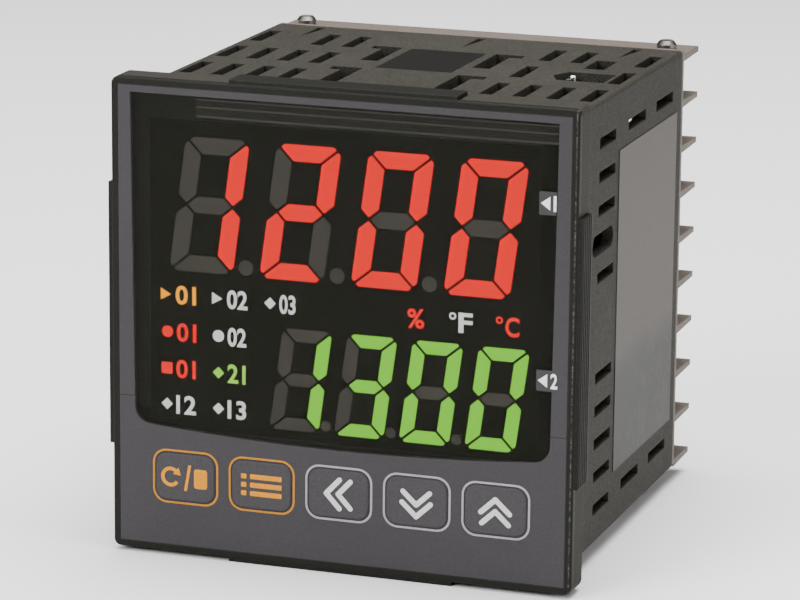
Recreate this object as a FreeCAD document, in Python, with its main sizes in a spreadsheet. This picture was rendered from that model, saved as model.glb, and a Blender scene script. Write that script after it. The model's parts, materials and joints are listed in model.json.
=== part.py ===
import FreeCAD, Part
import math
import os
import re

import Sketcher
from FreeCAD import Placement, Rotation, Vector

# Panel-mounting temperature controller with a 72 mm square front.
# The origin is the centre of the panel plane, where the rear of the bezel meets the panel.
# The front faces -Y, the case runs to +Y through the panel, +Z is up and +X is right seen from the front.
# All sizes are in millimetres.

SIZES = {
    # Bezel: the case's flange and the black frame on its front
    "bezel_side": 72.0,
    "bezel_depth": 6.0,
    "bezel_draft": 0.05,
    "bezel_corner": 1.1,
    "bezel_overhang": 2.25,
    "flange_edge": 0.9,
    "rim_depth": 1.2,
    "rim_edge": 0.3,
    "lip_wall": 1.5,
    "channel_wide": 1.1,
    "channel_deep": 3.3,
    "rib_wall": 0.7,
    "rib_deep": 2.8,
    # Case
    "body_corner": 0.6,
    "body_length": 58.4,
    "case_wall": 1.8,
    "fit_gap": 0.15,
    "seat_gap": 0.05,
    # Grips moulded on the frame, one on each side of the bezel
    "grip_wide": 35.0,
    "grip_tall": 40.0,
    "grip_proud": 0.62,
    "grip_lip": 0.8,
    "grip_ridge": 0.14,
    "grip_ridge_pitch": 0.9,
    # Skirt of the frame, which slides into the case and carries the display board
    "skirt_gap": 0.3,
    "skirt_wall": 1.5,
    "skirt_end": 5.4,
    "latch_wide": 12.0,
    "latch_deep": 2.0,
    "latch_start": 1.2,
    "latch_high": 0.6,
    "shelf_wide": 8.0,
    "shelf_high": 0.8,
    "hook_high": 0.4,
    "shelf_place": 16.0,
    "shelf_deep": 3.6,
    "bar_drop": 4.6,
    "bar_high": 2.0,
    "bar_deep": 2.6,
    # Sheets set into the front of the frame
    "sheet_margin": 1.15,
    "sheet_thick": 0.8,
    "key_strip": 22.55,
    "window_band": 1.13,
    "window_side_band": 2.0,
    "window_lean": 0.55,
    "window_drop": 1.45,
    "window_corner": 2.6,
    "window_sag": 1.25,
    # Keys
    "key_drop": 11.9,
    "key_high": 7.3,
    "key_between": 2.75,
    "key_margin": 1.15,
    "key_corner": 1.7,
    "key_edge": 0.3,
    "key_proud": 0.25,
    "key_gap": 0.15,
    "key_flange": 0.5,
    "key_flange_thick": 0.8,
    "key_stem_radius": 1.8,
    "web_thick": 1.2,
    "web_gap": 0.3,
    # Tact switches behind the keys
    "switch_side": 6.0,
    "switch_deep": 3.5,
    "switch_bore": 1.5,
    "plunger_radius": 1.42,
    "plunger_length": 2.2,
    "plunger_proud": 1.0,
    "key_travel": 0.35,
    # Display block with its light bars
    "block_gap": 0.1,
    "block_edge_gap": 0.25,
    "block_foot_gap": 0.3,
    "bar_slot_deep": 2.4,
    "light_bar_deep": 2.2,
    "light_gap": 0.03,
    "slit": 0.3,
    "bar_corner": 0.16,
    "slant": 7.63,
    # Boards
    "board_thick": 1.6,
    "board_gap": 0.2,
    "display_board_front": 2.6,
    "board_side_gap": 3.9,
    "side_board_start": 5.7,
    "board_end_gap": 0.8,
    "guide_wall": 0.55,
    "guide_high": 1.2,
    "header_deep": 4.8,
    "header_thick": 2.6,
    "header_tall": 36.0,
    "chip_side": 10.0,
    "chip_thick": 1.5,
    # Power and output pieces on the side boards
    "core_end_gap": 2.0,
    "core_deep": 26.0,
    "core_foot_gap": 4.95,
    "core_tall": 22.0,
    "core_thick": 9.0,
    "core_leg": 4.0,
    "coil_wall": 4.2,
    "capacitor_radius": 5.0,
    "capacitor_length": 18.0,
    "capacitor_start": 14.0,
    "capacitor_pitch": 13.0,
    "capacitor_height": 16.0,
    "relay_tall": 15.5,
    "relay_end_gap": 3.0,
    "relay_long": 20.0,
    "relay_foot_gap": 5.95,
    "relay_wide": 10.0,
    "relay_pitch": 14.0,
    "sink_thick": 0.6,
    "sink_start": 26.0,
    "sink_end": 33.2,
    "sink_low": 12.0,
    "sink_reach": 5.0,
    "sink_lip_gap": 0.35,
    "sink_lip_high": 2.2,
    "tongue_end_gap": 1.3,
    "tongue_inset": 0.5,
    # Vents and holes in the case
    "vent_wide": 2.0,
    "vent_first": 16.1,
    "vent_side_gap": 2.35,
    "vent_start": 11.7,
    "vent_end_gap": 6.6,
    "vent_bar": 5.15,
    "side_vent_high": 1.65,
    "side_vent_start": 12.0,
    "side_vent_long": 8.5,
    "side_vent_foot": 5.45,
    "side_vent_head": 6.25,
    "rear_vent_end_gap": 5.1,
    "rear_vent_bar": 5.9,
    "side_port_high": 3.2,
    "side_port_start": 9.2,
    "side_port_long": 10.8,
    "hook_hole_inner": 7.6,
    "hook_hole_wide": 2.8,
    "hook_hole_start": 12.6,
    "hook_hole_long": 12.4,
    "hook_hole_foot": 1.9,
    "hook_hole_foot_long": 2.3,
    "hook_hole_row": 18.9,
    "port_side_gap": 3.9,
    "port_wide": 8.85,
    "port_start": 26.6,
    "port_long": 7.0,
    "port_nose": 1.5,
    "pocket_side_gap": 6.85,
    "pocket_wide": 3.2,
    "pocket_start": 37.0,
    "pocket_long": 7.5,
    "ratchet_wide": 1.4,
    "ratchet_long": 8.4,
    "ratchet_end_gap": 2.4,
    "ratchet_deep": 0.7,
    # Plate in the top of the case and label on its side
    "plate_half_wide": 6.0,
    "plate_start": 26.2,
    "plate_end": 43.5,
    "plate_thick": 0.35,
    "label_start": 22.4,
    "label_end_gap": 3.8,
    "label_foot_gap": 8.75,
    "label_head_gap": 9.15,
    "label_thick": 0.12,
    # Terminal block
    "plug_deep": 4.0,
    "collar_deep": 1.0,
    "fin_root": 1.15,
    "fin_top_gap": 0.65,
    "fin_tip": 0.85,
    "fin_reach": 8.7,
    "spine_half": 10.0,
    "spine_reach": 4.2,
    "tab_thick": 0.8,
    "tab_wide": 5.7,
    "tab_fin_gap": 0.475,
    "leg_high": 3.2,
    "leg_long": 8.4,
    "clamp_fin_gap": 0.375,
    "clamp_thick": 0.8,
    "screw_inset": 3.05,
    "screw_fin_gap": 0.475,
    "screw_hole_gap": 0.2,
    "screw_head_high": 2.1,
    "screw_length": 4.4,
    "slot_wide": 0.7,
    "slot_deep": 0.9,
    "boss_side": 3.5,
    "boss_edge": 1.9,
    "boss_high": 2.8,
    "boss_reach": 5.4,
    "pin_screw_radius": 0.85,
    "pin_screw_length": 3.6,
    "pin_head_radius": 1.55,
    "pin_head_high": 1.5,
    "pin_screw_reach": 2.8,
}

# What the count of each repeated piece is on this product
KEY_COUNT = 5
DIGIT_COUNT = 4
FIN_COUNT = 10
VENT_COLUMNS = 4
VENT_LINES = 3
RIDGE_COUNT = 5


def case_sizes(s):
    """The case follows the bezel, and the sheets, window and keys follow both."""
    s["body_side"] = s["bezel_side"] - 2*s["bezel_overhang"]
    s["case_inside"] = s["body_side"]/2 - s["case_wall"]
    s["skirt_inside"] = s["case_inside"] - s["skirt_gap"] - s["skirt_wall"]
    s["sheet_side"] = s["bezel_side"] - 2*s["sheet_margin"]
    s["seam_height"] = s["key_strip"] - s["sheet_side"]/2
    s["window_top"] = s["sheet_side"]/2 - s["window_band"]
    s["window_top_half"] = s["sheet_side"]/2 - s["window_side_band"]
    s["window_low_half"] = s["window_top_half"] - s["window_lean"]
    s["window_side_end"] = s["seam_height"] - s["window_drop"]
    s["bar_top"] = s["seam_height"] - s["bar_drop"]
    s["key_height"] = s["seam_height"] - s["key_drop"]
    s["key_pitch"] = (2*s["skirt_inside"] + s["key_between"] - 2*s["key_margin"])/KEY_COUNT
    s["key_wide"] = s["key_pitch"] - s["key_between"]
    s["block_half_wide"] = s["skirt_inside"] - s["shelf_high"] - s["block_edge_gap"]
    s["block_top"] = s["block_half_wide"]
    s["block_bottom"] = s["bar_top"] + s["block_foot_gap"]


def figure_sizes(s):
    """Figures and signs share the display block's width and height."""
    half = s["block_half_wide"]
    high = s["block_top"] - s["block_bottom"]
    foot = s["block_bottom"]
    s["pv_wide"] = 0.3471*half
    s["pv_stem"] = 0.0955*half
    s["pv_pitch"] = 0.489*half
    s["pv_first"] = -0.7141*half
    s["pv_dot"] = 0.0412*half
    s["pv_dot_across"] = 0.1979*half
    s["pv_high"] = 0.4464*high
    s["pv_beam"] = 0.0558*high
    s["pv_height"] = foot + 0.7446*high
    s["pv_dot_down"] = 0.1947*high
    s["sv_wide"] = 0.2663*half
    s["sv_stem"] = 0.0729*half
    s["sv_pitch"] = 0.3471*half
    s["sv_first"] = -0.2192*half
    s["sv_dot"] = 0.0285*half
    s["sv_dot_across"] = 0.1364*half
    s["sv_high"] = 0.3403*high
    s["sv_beam"] = 0.0433*high
    s["sv_height"] = foot + 0.1937*high
    s["sv_dot_down"] = 0.1444*high
    s["lamp_wide"] = 0.2131*half
    s["lamp_first"] = -0.8832*half
    s["lamp_pitch"] = 0.2801*half
    s["lamp_high"] = 0.0832*high
    s["lamp_top"] = foot + 0.442*high
    s["lamp_drop"] = 0.1232*high
    s["unit_wide"] = 0.1581*half
    s["unit_first"] = 0.3918*half
    s["unit_pitch"] = 0.2412*half
    s["unit_height"] = foot + 0.4365*high


def opening_sizes(s):
    """Slots, holes, notches and the label keep their distance from the case's edges."""
    half = s["body_side"]/2
    case_end = s["body_length"] - s["collar_deep"]
    s["vent_pitch"] = (half - s["vent_side_gap"] - s["vent_first"])/(VENT_COLUMNS - 1)
    run = case_end - s["vent_start"] - s["vent_end_gap"]
    s["vent_long"] = (run - (VENT_LINES - 1)*s["vent_bar"])/VENT_LINES
    s["vent_row"] = s["vent_long"] + s["vent_bar"]
    s["side_vent_low"] = s["side_vent_foot"] - half
    s["side_vent_top"] = half - s["side_vent_head"]
    s["side_vent_pitch"] = 0.15*half
    s["side_port_low"] = 0.32*half
    s["rear_vent_pitch"] = s["vent_long"] + s["rear_vent_bar"]
    s["rear_vent_start"] = case_end - s["rear_vent_end_gap"] - s["vent_long"] - s["rear_vent_pitch"]
    s["port_left"] = half - s["port_side_gap"] - s["port_wide"]
    s["pocket_left"] = half - s["pocket_side_gap"] - s["pocket_wide"]
    s["ratchet_end"] = s["body_length"] - s["ratchet_end_gap"]
    s["ratchet_start"] = s["ratchet_end"] - s["ratchet_long"]
    s["label_end"] = s["body_length"] - s["label_end_gap"]
    s["label_low"] = s["label_foot_gap"] - half
    s["label_top"] = half - s["label_head_gap"]


def inner_sizes(s):
    """Boards stand against the case, and the terminals and power pieces against the boards."""
    inside = s["case_inside"]
    plug_front = s["body_length"] - s["collar_deep"] - s["plug_deep"] + 1
    s["side_board_place"] = inside - s["board_side_gap"]
    s["side_board_end"] = plug_front - s["board_end_gap"]
    s["leg_start"] = s["body_length"] - s["leg_long"]
    s["core_start"] = s["leg_start"] - s["core_end_gap"] - s["core_deep"]
    s["core_low"] = s["core_foot_gap"] - inside
    s["relay_start"] = s["leg_start"] - s["relay_end_gap"] - s["relay_long"]
    s["relay_low"] = s["relay_foot_gap"] - inside
    s["sink_lip"] = inside - s["sink_lip_gap"]
    s["sink_shelf"] = s["sink_lip"] - s["sink_lip_high"]
    s["fin_pitch"] = (s["body_side"] - s["fin_root"] - s["fin_top_gap"])/(FIN_COUNT - 1)
    row = s["fin_pitch"] - s["fin_root"]
    s["tab_high"] = row - 2*s["tab_fin_gap"]
    s["clamp_side"] = row - 2*s["clamp_fin_gap"]
    s["screw_head_radius"] = row/2 - s["screw_fin_gap"]
    s["screw_radius"] = s["screw_head_radius"]/2
    s["screw_hole"] = s["screw_radius"] + s["screw_hole_gap"]
    s["terminal_reach"] = s["side_board_place"] - s["screw_inset"]
    s["boss_place"] = s["body_side"]/2 - s["boss_edge"] - s["boss_side"]/2
    s["pin_screw_place"] = s["body_length"] + s["pin_screw_reach"]


def all_sizes():
    """The driving sizes and those that follow from them."""
    sizes = dict(SIZES)
    case_sizes(sizes)
    figure_sizes(sizes)
    opening_sizes(sizes)
    inner_sizes(sizes)
    return sizes


doc = FreeCAD.newDocument("TemperatureController")
sheet = doc.addObject("Spreadsheet::Sheet", "Sizes")
for row, (size_name, size_value) in enumerate(all_sizes().items(), start=1):
    sheet.set("A%d" % row, size_name)
    sheet.set("B%d" % row, "%.9g" % size_value)
    sheet.setAlias("B%d" % row, size_name)
doc.recompute()
size = {name: float(sheet.get(name)) for name in all_sizes()}

finished = []

# Distances that several pieces share, as expressions of the sizes
RIM_FRONT = "-bezel_depth"
RIM_BACK = "(rim_depth - bezel_depth)"
SHEET_BACK = "(sheet_thick - bezel_depth)"
WEB_BACK = "(sheet_thick - bezel_depth + web_thick)"
CASE_INNER = "case_inside"
SKIRT_OUTER = "(case_inside - skirt_gap)"
SKIRT_INNER = "skirt_inside"
COLLAR_FRONT = "(body_length - collar_deep)"
PLUG_FRONT = "(body_length - collar_deep - plug_deep + 1)"
FACE_HALF = "(bezel_side/2 - bezel_draft)"


def linked(text):
    """The expression with each size name pointed at the sheet."""
    return re.sub(
        r"[a-z][a-z_0-9]*",
        lambda word: "Sizes." + word.group() if word.group() in size else word.group(),
        text,
    )


def near(text):
    """A first guess for a sketch: the sum of the named sizes with their plain factors."""
    total = 0
    terms = re.findall(r"([+-]?)\s*(?:([\d.]+)\*)?([a-z][a-z_0-9]*)(?:([*/])([\d.]+))?", text)
    for sign, factor, word, operation, number in terms:
        amount = size[word]*float(factor or 1)
        if operation == "*":
            amount *= float(number)
        if operation == "/":
            amount /= float(number)
        total += -amount if sign == "-" else amount
    return total


def span(half):
    """A pair of expressions the same distance each side of the middle."""
    return "-(%s)" % half, half


def keep(solid, label):
    """Names a finished piece and lists it for writing."""
    solid.Label = label
    finished.append(solid)
    return solid


def brick(name, x, y, z):
    """A box between three pairs of expressions."""
    solid = doc.addObject("Part::Box", name)
    sides = zip(("x", "y", "z"), ("Length", "Width", "Height"), (x, y, z))
    for axis, side, (low, high) in sides:
        solid.setExpression("Placement.Base." + axis, linked(low))
        solid.setExpression(side, linked("(%s) - (%s)" % (high, low)))
    return solid


TURN = {"x": Rotation(Vector(0, 1, 0), 90), "y": Rotation(Vector(1, 0, 0), -90), "z": Rotation()}


def rod(name, direction, start, radius, length):
    """A cylinder that runs from its start along one axis."""
    solid = doc.addObject("Part::Cylinder", name)
    solid.Placement = Placement(Vector(), TURN[direction])
    for axis, place in zip("xyz", start):
        solid.setExpression("Placement.Base." + axis, linked(place))
    solid.setExpression("Radius", linked(radius))
    solid.setExpression("Height", linked(length))
    return solid


def joined(name, *pieces):
    """One solid made of pieces that run into each other."""
    solid = doc.addObject("Part::MultiFuse", name)
    solid.Shapes = list(pieces)
    return solid


def carved(name, base, *tools):
    """The base with the tools taken away."""
    solid = doc.addObject("Part::Cut", name)
    solid.Base = base
    solid.Tool = tools[0] if len(tools) == 1 else joined(name + "_tools", *tools)
    return solid


def shaped(name, shape):
    """A piece whose outline is worked out in code from the sheet's sizes."""
    solid = doc.addObject("Part::Feature", name)
    solid.Shape = shape
    return solid


def rounded(name, base, radius, chosen):
    """The base with the chosen edges rounded."""
    doc.recompute()
    solid = doc.addObject("Part::Fillet", name)
    solid.Base = base
    edges = enumerate(base.Shape.Edges, start=1)
    solid.Edges = [(number, radius, radius) for number, edge in edges if chosen(edge)]
    return solid


def runs_along(axis):
    """True for a straight edge along one axis."""
    def chosen(edge):
        first, last = edge.Vertexes[0].Point, edge.Vertexes[-1].Point
        step = last - first
        return abs(abs(getattr(step, axis)) - step.Length) < 1e-6 and step.Length > 0
    return chosen


def front_sketch(body, name, y):
    """A sketch facing the front, at a depth; its own axes are X and Z."""
    sketch = body.newObject("Sketcher::SketchObject", name)
    plane = next(item for item in body.Origin.OriginFeatures if item.Role == "XZ_Plane")
    sketch.AttachmentSupport = [(plane, "")]
    sketch.MapMode = "FlatFace"
    sketch.setExpression("AttachmentOffset.Base.z", linked("-(%s)" % y))
    return sketch


def bind(sketch, text, guess, kind, *places):
    """A sketch dimension held by an expression."""
    index = sketch.addConstraint(Sketcher.Constraint(kind, *places, guess))
    sketch.setExpression("Constraints[%d]" % index, linked(text))


def draw_rounded_square(sketch, side, corner):
    """A square with round corners about the sketch's origin."""
    draw_rounded_rectangle(sketch, side, side, corner)


def draw_rounded_rectangle(sketch, wide, high, corner):
    """A rectangle with round corners about the sketch's origin."""
    radius = near(corner)
    across = near(wide)/2 - radius
    up = near(high)/2 - radius
    first = sketch.GeometryCount
    quarter = math.pi/2
    centres = [(across, up), (-across, up), (-across, -up), (across, -up)]
    for turn, (u, v) in enumerate(centres):
        circle = Part.Circle(Vector(u, v, 0), Vector(0, 0, 1), radius)
        sketch.addGeometry(Part.ArcOfCircle(circle, turn*quarter, (turn + 1)*quarter), False)
    for turn in range(4):
        start = sketch.getPoint(first + turn, 2)
        end = sketch.getPoint(first + (turn + 1) % 4, 1)
        sketch.addGeometry(Part.LineSegment(start, end), False)
    for turn in range(4):
        arc = first + turn
        line = first + 4 + turn
        following = first + (turn + 1) % 4
        sketch.addConstraint(Sketcher.Constraint("Tangent", arc, 2, line, 1))
        sketch.addConstraint(Sketcher.Constraint("Tangent", line, 2, following, 1))
        sketch.addConstraint(Sketcher.Constraint("Vertical" if turn % 2 else "Horizontal", line))
        if turn:
            sketch.addConstraint(Sketcher.Constraint("Equal", first, arc))
    sketch.addConstraint(Sketcher.Constraint("Symmetric", first, 3, first + 2, 3, -1, 1))
    bind(sketch, "(%s) - 2*(%s)" % (wide, corner), 2*across, "DistanceX", first + 1, 3, first, 3)
    bind(sketch, "(%s) - 2*(%s)" % (high, corner), 2*up, "DistanceY", first + 3, 3, first, 3)
    bind(sketch, corner, radius, "Radius", first)


def pad(body, sketch, name, length, backward=True, taper=None):
    """Fills a front sketch towards the rear, or towards the front."""
    feature = body.newObject("PartDesign::Pad", name)
    feature.Profile = sketch
    feature.setExpression("Length", linked(length))
    feature.Reversed = backward
    if taper:
        feature.setExpression("TaperAngle", linked(taper))
    sketch.Visibility = False
    return feature


def pocket(body, sketch, name, depth=None):
    """Cuts a front sketch towards the rear, to a depth or right through."""
    feature = body.newObject("PartDesign::Pocket", name)
    feature.Profile = sketch
    if depth:
        feature.setExpression("Length", linked(depth))
    else:
        feature.Type = "ThroughAll"
    return feature


def soften(body, name, radius, chosen):
    """Rounds chosen edges of a body."""
    doc.recompute()
    base = body.Tip
    edges = enumerate(base.Shape.Edges, start=1)
    feature = body.newObject("PartDesign::Fillet", name)
    feature.Base = (base, ["Edge%d" % number for number, edge in edges if chosen(edge)])
    feature.setExpression("Radius", linked(radius))
    return feature


def turned(name, profile):
    """A body turned about its own Y axis from (radius, depth) corners, each a pair of expressions."""
    body = doc.addObject("PartDesign::Body", name)
    sketch = body.newObject("Sketcher::SketchObject", name + "_profile")
    plane = next(item for item in body.Origin.OriginFeatures if item.Role == "XY_Plane")
    sketch.AttachmentSupport = [(plane, "")]
    sketch.MapMode = "FlatFace"
    guesses = [Vector(near(radius), near(depth), 0) for radius, depth in profile]
    count = len(profile)
    for number in range(count):
        start = guesses[number] + Vector(0, 0.01*number, 0)
        end = guesses[(number + 1) % count] + Vector(0, 0.01*((number + 1) % count), 0)
        sketch.addGeometry(Part.LineSegment(start, end), False)
    for number in range(count):
        following = (number + 1) % count
        sketch.addConstraint(Sketcher.Constraint("Coincident", number, 2, following, 1))
    for number, (radius, depth) in enumerate(profile):
        for kind, text in (("DistanceX", radius), ("DistanceY", depth)):
            if text == "0":
                onto = -2 if kind == "DistanceX" else -1
                sketch.addConstraint(Sketcher.Constraint("PointOnObject", number, 1, onto))
            else:
                bind(sketch, text, near(text), kind, -1, 1, number, 1)
    feature = body.newObject("PartDesign::Revolution", name + "_turning")
    feature.Profile = sketch
    feature.ReferenceAxis = (sketch, ["V_Axis"])
    feature.Angle = 360
    return body


def place(solid, x="0", y="0", z="0"):
    """Puts a body or primitive at a place given by expressions."""
    for axis, text in zip("xyz", (x, y, z)):
        solid.setExpression("Placement.Base." + axis, linked(text))


def window_outline(grow):
    """The display window's outline, grown by a clearance: leaning sides, round low corners, sagging foot."""
    top = size["window_top"] + grow
    top_half = size["window_top_half"] + grow
    low_half = size["window_low_half"] + grow
    radius = size["window_corner"] + grow
    level = size["window_side_end"]
    centre = low_half - radius
    foot = level - radius
    lean = radius*math.sqrt(0.5)
    right = [
        Vector(low_half, 0, level),
        Vector(centre + lean, 0, level - lean),
        Vector(centre, 0, foot),
    ]
    left = [Vector(-point.x, 0, point.z) for point in reversed(right)]
    corners = [Vector(-top_half, 0, top), Vector(top_half, 0, top)]
    return Part.Wire([
        Part.LineSegment(corners[0], corners[1]).toShape(),
        Part.LineSegment(corners[1], right[0]).toShape(),
        Part.Arc(*right).toShape(),
        Part.Arc(right[2], Vector(0, 0, foot - size["window_sag"]), left[0]).toShape(),
        Part.Arc(*left).toShape(),
        Part.LineSegment(left[2], corners[0]).toShape(),
    ])


def window_plate(name, grow, low, high):
    """The window's outline filled between two depths."""
    outline = shaped(name + "_outline", Part.Face(window_outline(grow)))
    plate = doc.addObject("Part::Extrusion", name)
    plate.Base = outline
    plate.Dir = Vector(0, 1, 0)
    plate.Solid = True
    plate.setExpression("LengthFwd", linked("(%s) - (%s)" % (high, low)))
    place(outline, y=low)
    return plate


def key_place(number):
    """Where a key's centre lies across the front."""
    return "key_pitch*(%g)" % (number - (KEY_COUNT - 1)/2)


def mirrored_span(side, low, high):
    """A pair of expressions on the right, or the same on the left."""
    return (low, high) if side > 0 else ("-(%s)" % high, "-(%s)" % low)


# Rear case: a square tube with a flange that is hollow under the frame, board guides, vents and holes

def case_shell():
    """The moulded tube and flange before any vent is cut."""
    body = doc.addObject("PartDesign::Body", "case_shell")
    outline = front_sketch(body, "case_tube_outline", "0")
    draw_rounded_square(outline, "body_side", "body_corner")
    pad(body, outline, "case_tube", COLLAR_FRONT)
    outline = front_sketch(body, "case_flange_outline", "0")
    draw_rounded_square(outline, "bezel_side", "bezel_corner")
    lean = "-atan(bezel_draft/bezel_depth)"
    pad(body, outline, "case_flange", "bezel_depth - rim_depth", backward=False, taper=lean)
    outline = front_sketch(body, "case_bore_outline", RIM_FRONT)
    draw_rounded_square(outline, "body_side - 2*case_wall", "body_corner")
    pocket(body, outline, "case_bore")
    outline = front_sketch(body, "case_channel_outline", RIM_BACK)
    draw_rounded_square(outline, "bezel_side - 2*lip_wall", "bezel_corner")
    draw_rounded_square(outline, "bezel_side - 2*lip_wall - 2*channel_wide", "body_corner")
    pocket(body, outline, "case_channel", "channel_deep")
    outside = size["body_side"]/2 + 0.1

    def flange_back(edge):
        box = edge.BoundBox
        reach = max(abs(box.XMin), abs(box.XMax), abs(box.ZMin), abs(box.ZMax))
        return abs(box.YMin) < 1e-6 and abs(box.YMax) < 1e-6 and reach > outside

    soften(body, "case_flange_edge", "flange_edge", flange_back)
    return body


def board_guides():
    """Pairs of low ribs inside the case's top and floor that hold the two side boards."""
    ribs = []
    inner = "side_board_place"
    outer = "side_board_place + board_thick"
    for side in (-1, 1):
        for end in (-1, 1):
            z = mirrored_span(end, CASE_INNER + " - guide_high", CASE_INNER + " + fit_gap")
            rows = [(inner + " - fit_gap - guide_wall", inner + " - fit_gap"),
                    (outer + " + fit_gap", outer + " + fit_gap + guide_wall")]
            for low, high in rows:
                x = mirrored_span(side, low, high)
                name = "board_guide_%d" % len(ribs)
                ribs.append(brick(name, x, ("skirt_end + 1", "leg_start - fit_gap"), z))
    return ribs


def box_between(x, y, z):
    """A plain box shape between three pairs of numbers."""
    corner = Vector(x[0], y[0], z[0])
    return Part.makeBox(x[1] - x[0], y[1] - y[0], z[1] - z[0], corner)


def prism(points, thickness):
    """A flat outline of points filled along a vector."""
    return Part.Face(Part.makePolygon(points + points[:1])).extrude(thickness)


def top_openings():
    """Slots and holes in the top wall, as drawn for the upper side."""
    low = size["body_side"]/2 - size["case_wall"] - size["guide_high"] - 1
    high = size["body_side"]/2 + 1
    z = (low, high)
    cutters = []
    half = size["vent_wide"]/2
    for column in range(VENT_COLUMNS):
        x = size["vent_first"] + size["vent_pitch"]*column
        for line in range(VENT_LINES):
            y = size["vent_start"] + size["vent_row"]*line
            for side in (-1, 1):
                cutters.append((side, column, line, box_between(
                    (side*x - half, side*x + half), (y, y + size["vent_long"]), z)))
    return z, cutters


def hook_holes(z):
    """Two L-shaped holes each side of the middle, where the panel bracket hooks in."""
    shapes = []
    inner = size["hook_hole_inner"]
    outer = inner + size["hook_hole_wide"]
    for line in range(2):
        start = size["hook_hole_start"] + size["hook_hole_row"]*line
        end = start + size["hook_hole_long"]
        foot = end - size["hook_hole_foot_long"]
        outline = [(inner, start), (outer, start), (outer, foot), (outer + size["hook_hole_foot"], foot),
                   (outer + size["hook_hole_foot"], end), (inner, end)]
        for side in (-1, 1):
            points = [Vector(side*x, y, z[0]) for x, y in outline]
            shapes.append(prism(points, Vector(0, 0, z[1] - z[0])))
    return shapes


def ratchet_notches():
    """Shallow tapered notches near the rear edge, where the bracket's pawl rides."""
    top = size["body_side"]/2
    start = size["ratchet_start"]
    end = size["ratchet_end"]
    wide = size["ratchet_wide"]
    middle = size["pocket_left"] + size["pocket_wide"] - wide/2
    shapes = []
    for x in (-middle, 0.5*wide, middle):
        points = [Vector(x, start, top + 1), Vector(x + wide, end, top + 1), Vector(x, end, top + 1)]
        shapes.append(prism(points, Vector(0, 0, -1 - size["ratchet_deep"])))
    return shapes


def port_hole(z):
    """The wide port over the output stage, pointed at its inner end."""
    left = size["port_left"]
    right = left + size["port_wide"]
    start = size["port_start"]
    end = start + size["port_long"]
    middle = (start + end)/2
    nose = size["port_nose"]
    outline = [(left, middle), (left + nose, start), (right, start), (right, end), (left + nose, end)]
    return prism([Vector(x, y, z[0]) for x, y in outline], Vector(0, 0, z[1] - z[0]))


def pocket_hole(z):
    """A square-ended hole in place of one rear slot."""
    x = (size["pocket_left"], size["pocket_left"] + size["pocket_wide"])
    y = (size["pocket_start"], size["pocket_start"] + size["pocket_long"])
    return box_between(x, y, z)


def top_cutters():
    """Everything cut in the top: the slot grid gives way to the port, the square hole and blank places."""
    z, slots = top_openings()
    blank = {(1, 1, 1), (1, 2, 1), (1, 2, 2), (-1, 2, 2)}
    shapes = [shape for side, column, line, shape in slots if (side, column, line) not in blank]
    shapes += hook_holes(z) + ratchet_notches()
    shapes += [port_hole(z), pocket_hole(z)]
    return shapes


def bottom_cutters():
    """The floor has the whole slot grid and the same hook holes."""
    z, slots = top_openings()
    shapes = [shape for side, column, line, shape in slots] + hook_holes(z)
    turn = Placement(Vector(), Rotation(Vector(0, 1, 0), 180))
    return [shape.transformed(turn.toMatrix()) for shape in shapes]


def side_cutters(side):
    """A column of short slots behind the flange, longer ones near the top and floor, and one port."""
    wall = size["body_side"]/2
    x = sorted((side*(wall - size["case_wall"] - 1), side*(wall + 1)))
    high = size["side_vent_high"]
    pitch = size["side_vent_pitch"]
    shapes = []
    front = (size["side_vent_start"], size["side_vent_start"] + size["side_vent_long"])
    lower = [size["side_vent_low"] + pitch*step for step in range(5)]
    upper = [size["side_vent_top"] - pitch*step for step in (0, 1, 2, 4)]
    for middle in lower + upper:
        shapes.append(box_between(x, front, (middle - high/2, middle + high/2)))
    for line in range(2):
        start = size["rear_vent_start"] + size["rear_vent_pitch"]*line
        for middle in (size["side_vent_low"], size["side_vent_top"]):
            y = (start, start + size["vent_long"])
            shapes.append(box_between(x, y, (middle - high/2, middle + high/2)))
    low = size["side_port_low"]
    start = size["side_port_start"]
    port = box_between(x, (start, start + size["side_port_long"]), (low, low + size["side_port_high"]))
    shapes.append(port.makeFillet(size["side_port_high"]/2.2, [e for e in port.Edges if runs_along("x")(e)]))
    return shapes


def rear_case():
    shell = joined("case_with_guides", case_shell(), *board_guides())
    cutters = top_cutters() + bottom_cutters() + side_cutters(1) + side_cutters(-1)
    vents = shaped("case_vents", Part.makeCompound(cutters))
    notches = []
    across = span("(grip_wide/2 + fit_gap)")
    upright = span("(grip_tall/2 + fit_gap)")
    y = (RIM_BACK + " - 1", "-grip_lip")
    for side in (-1, 1):
        reach = mirrored_span(side, "bezel_side/2 - lip_wall - fit_gap", "bezel_side/2 + 1")
        notches.append(brick("case_notch_%d" % len(notches), across, y, reach))
        notches.append(brick("case_notch_%d" % len(notches), reach, y, upright))
    for side in (-1, 1):
        reach = mirrored_span(side, CASE_INNER + " - 1", SKIRT_OUTER + " + latch_high + fit_gap")
        latch = brick("case_latch_%d" % len(notches), span("(latch_wide/2 + fit_gap)"),
                      ("latch_start - fit_gap", "latch_start + latch_deep + fit_gap"), reach)
        notches.append(latch)
    recess = brick("case_plate_recess", span("(plate_half_wide + seat_gap)"),
                   ("plate_start - seat_gap", "plate_end + seat_gap"),
                   ("body_side/2 - plate_thick", "body_side/2 + 1"))
    keep(carved("rear_case", shell, vents, recess, *notches), "rear_case")


# Front frame: black rim, skirt, key web, crossbar, grips, latches and board hooks in one moulding

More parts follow.
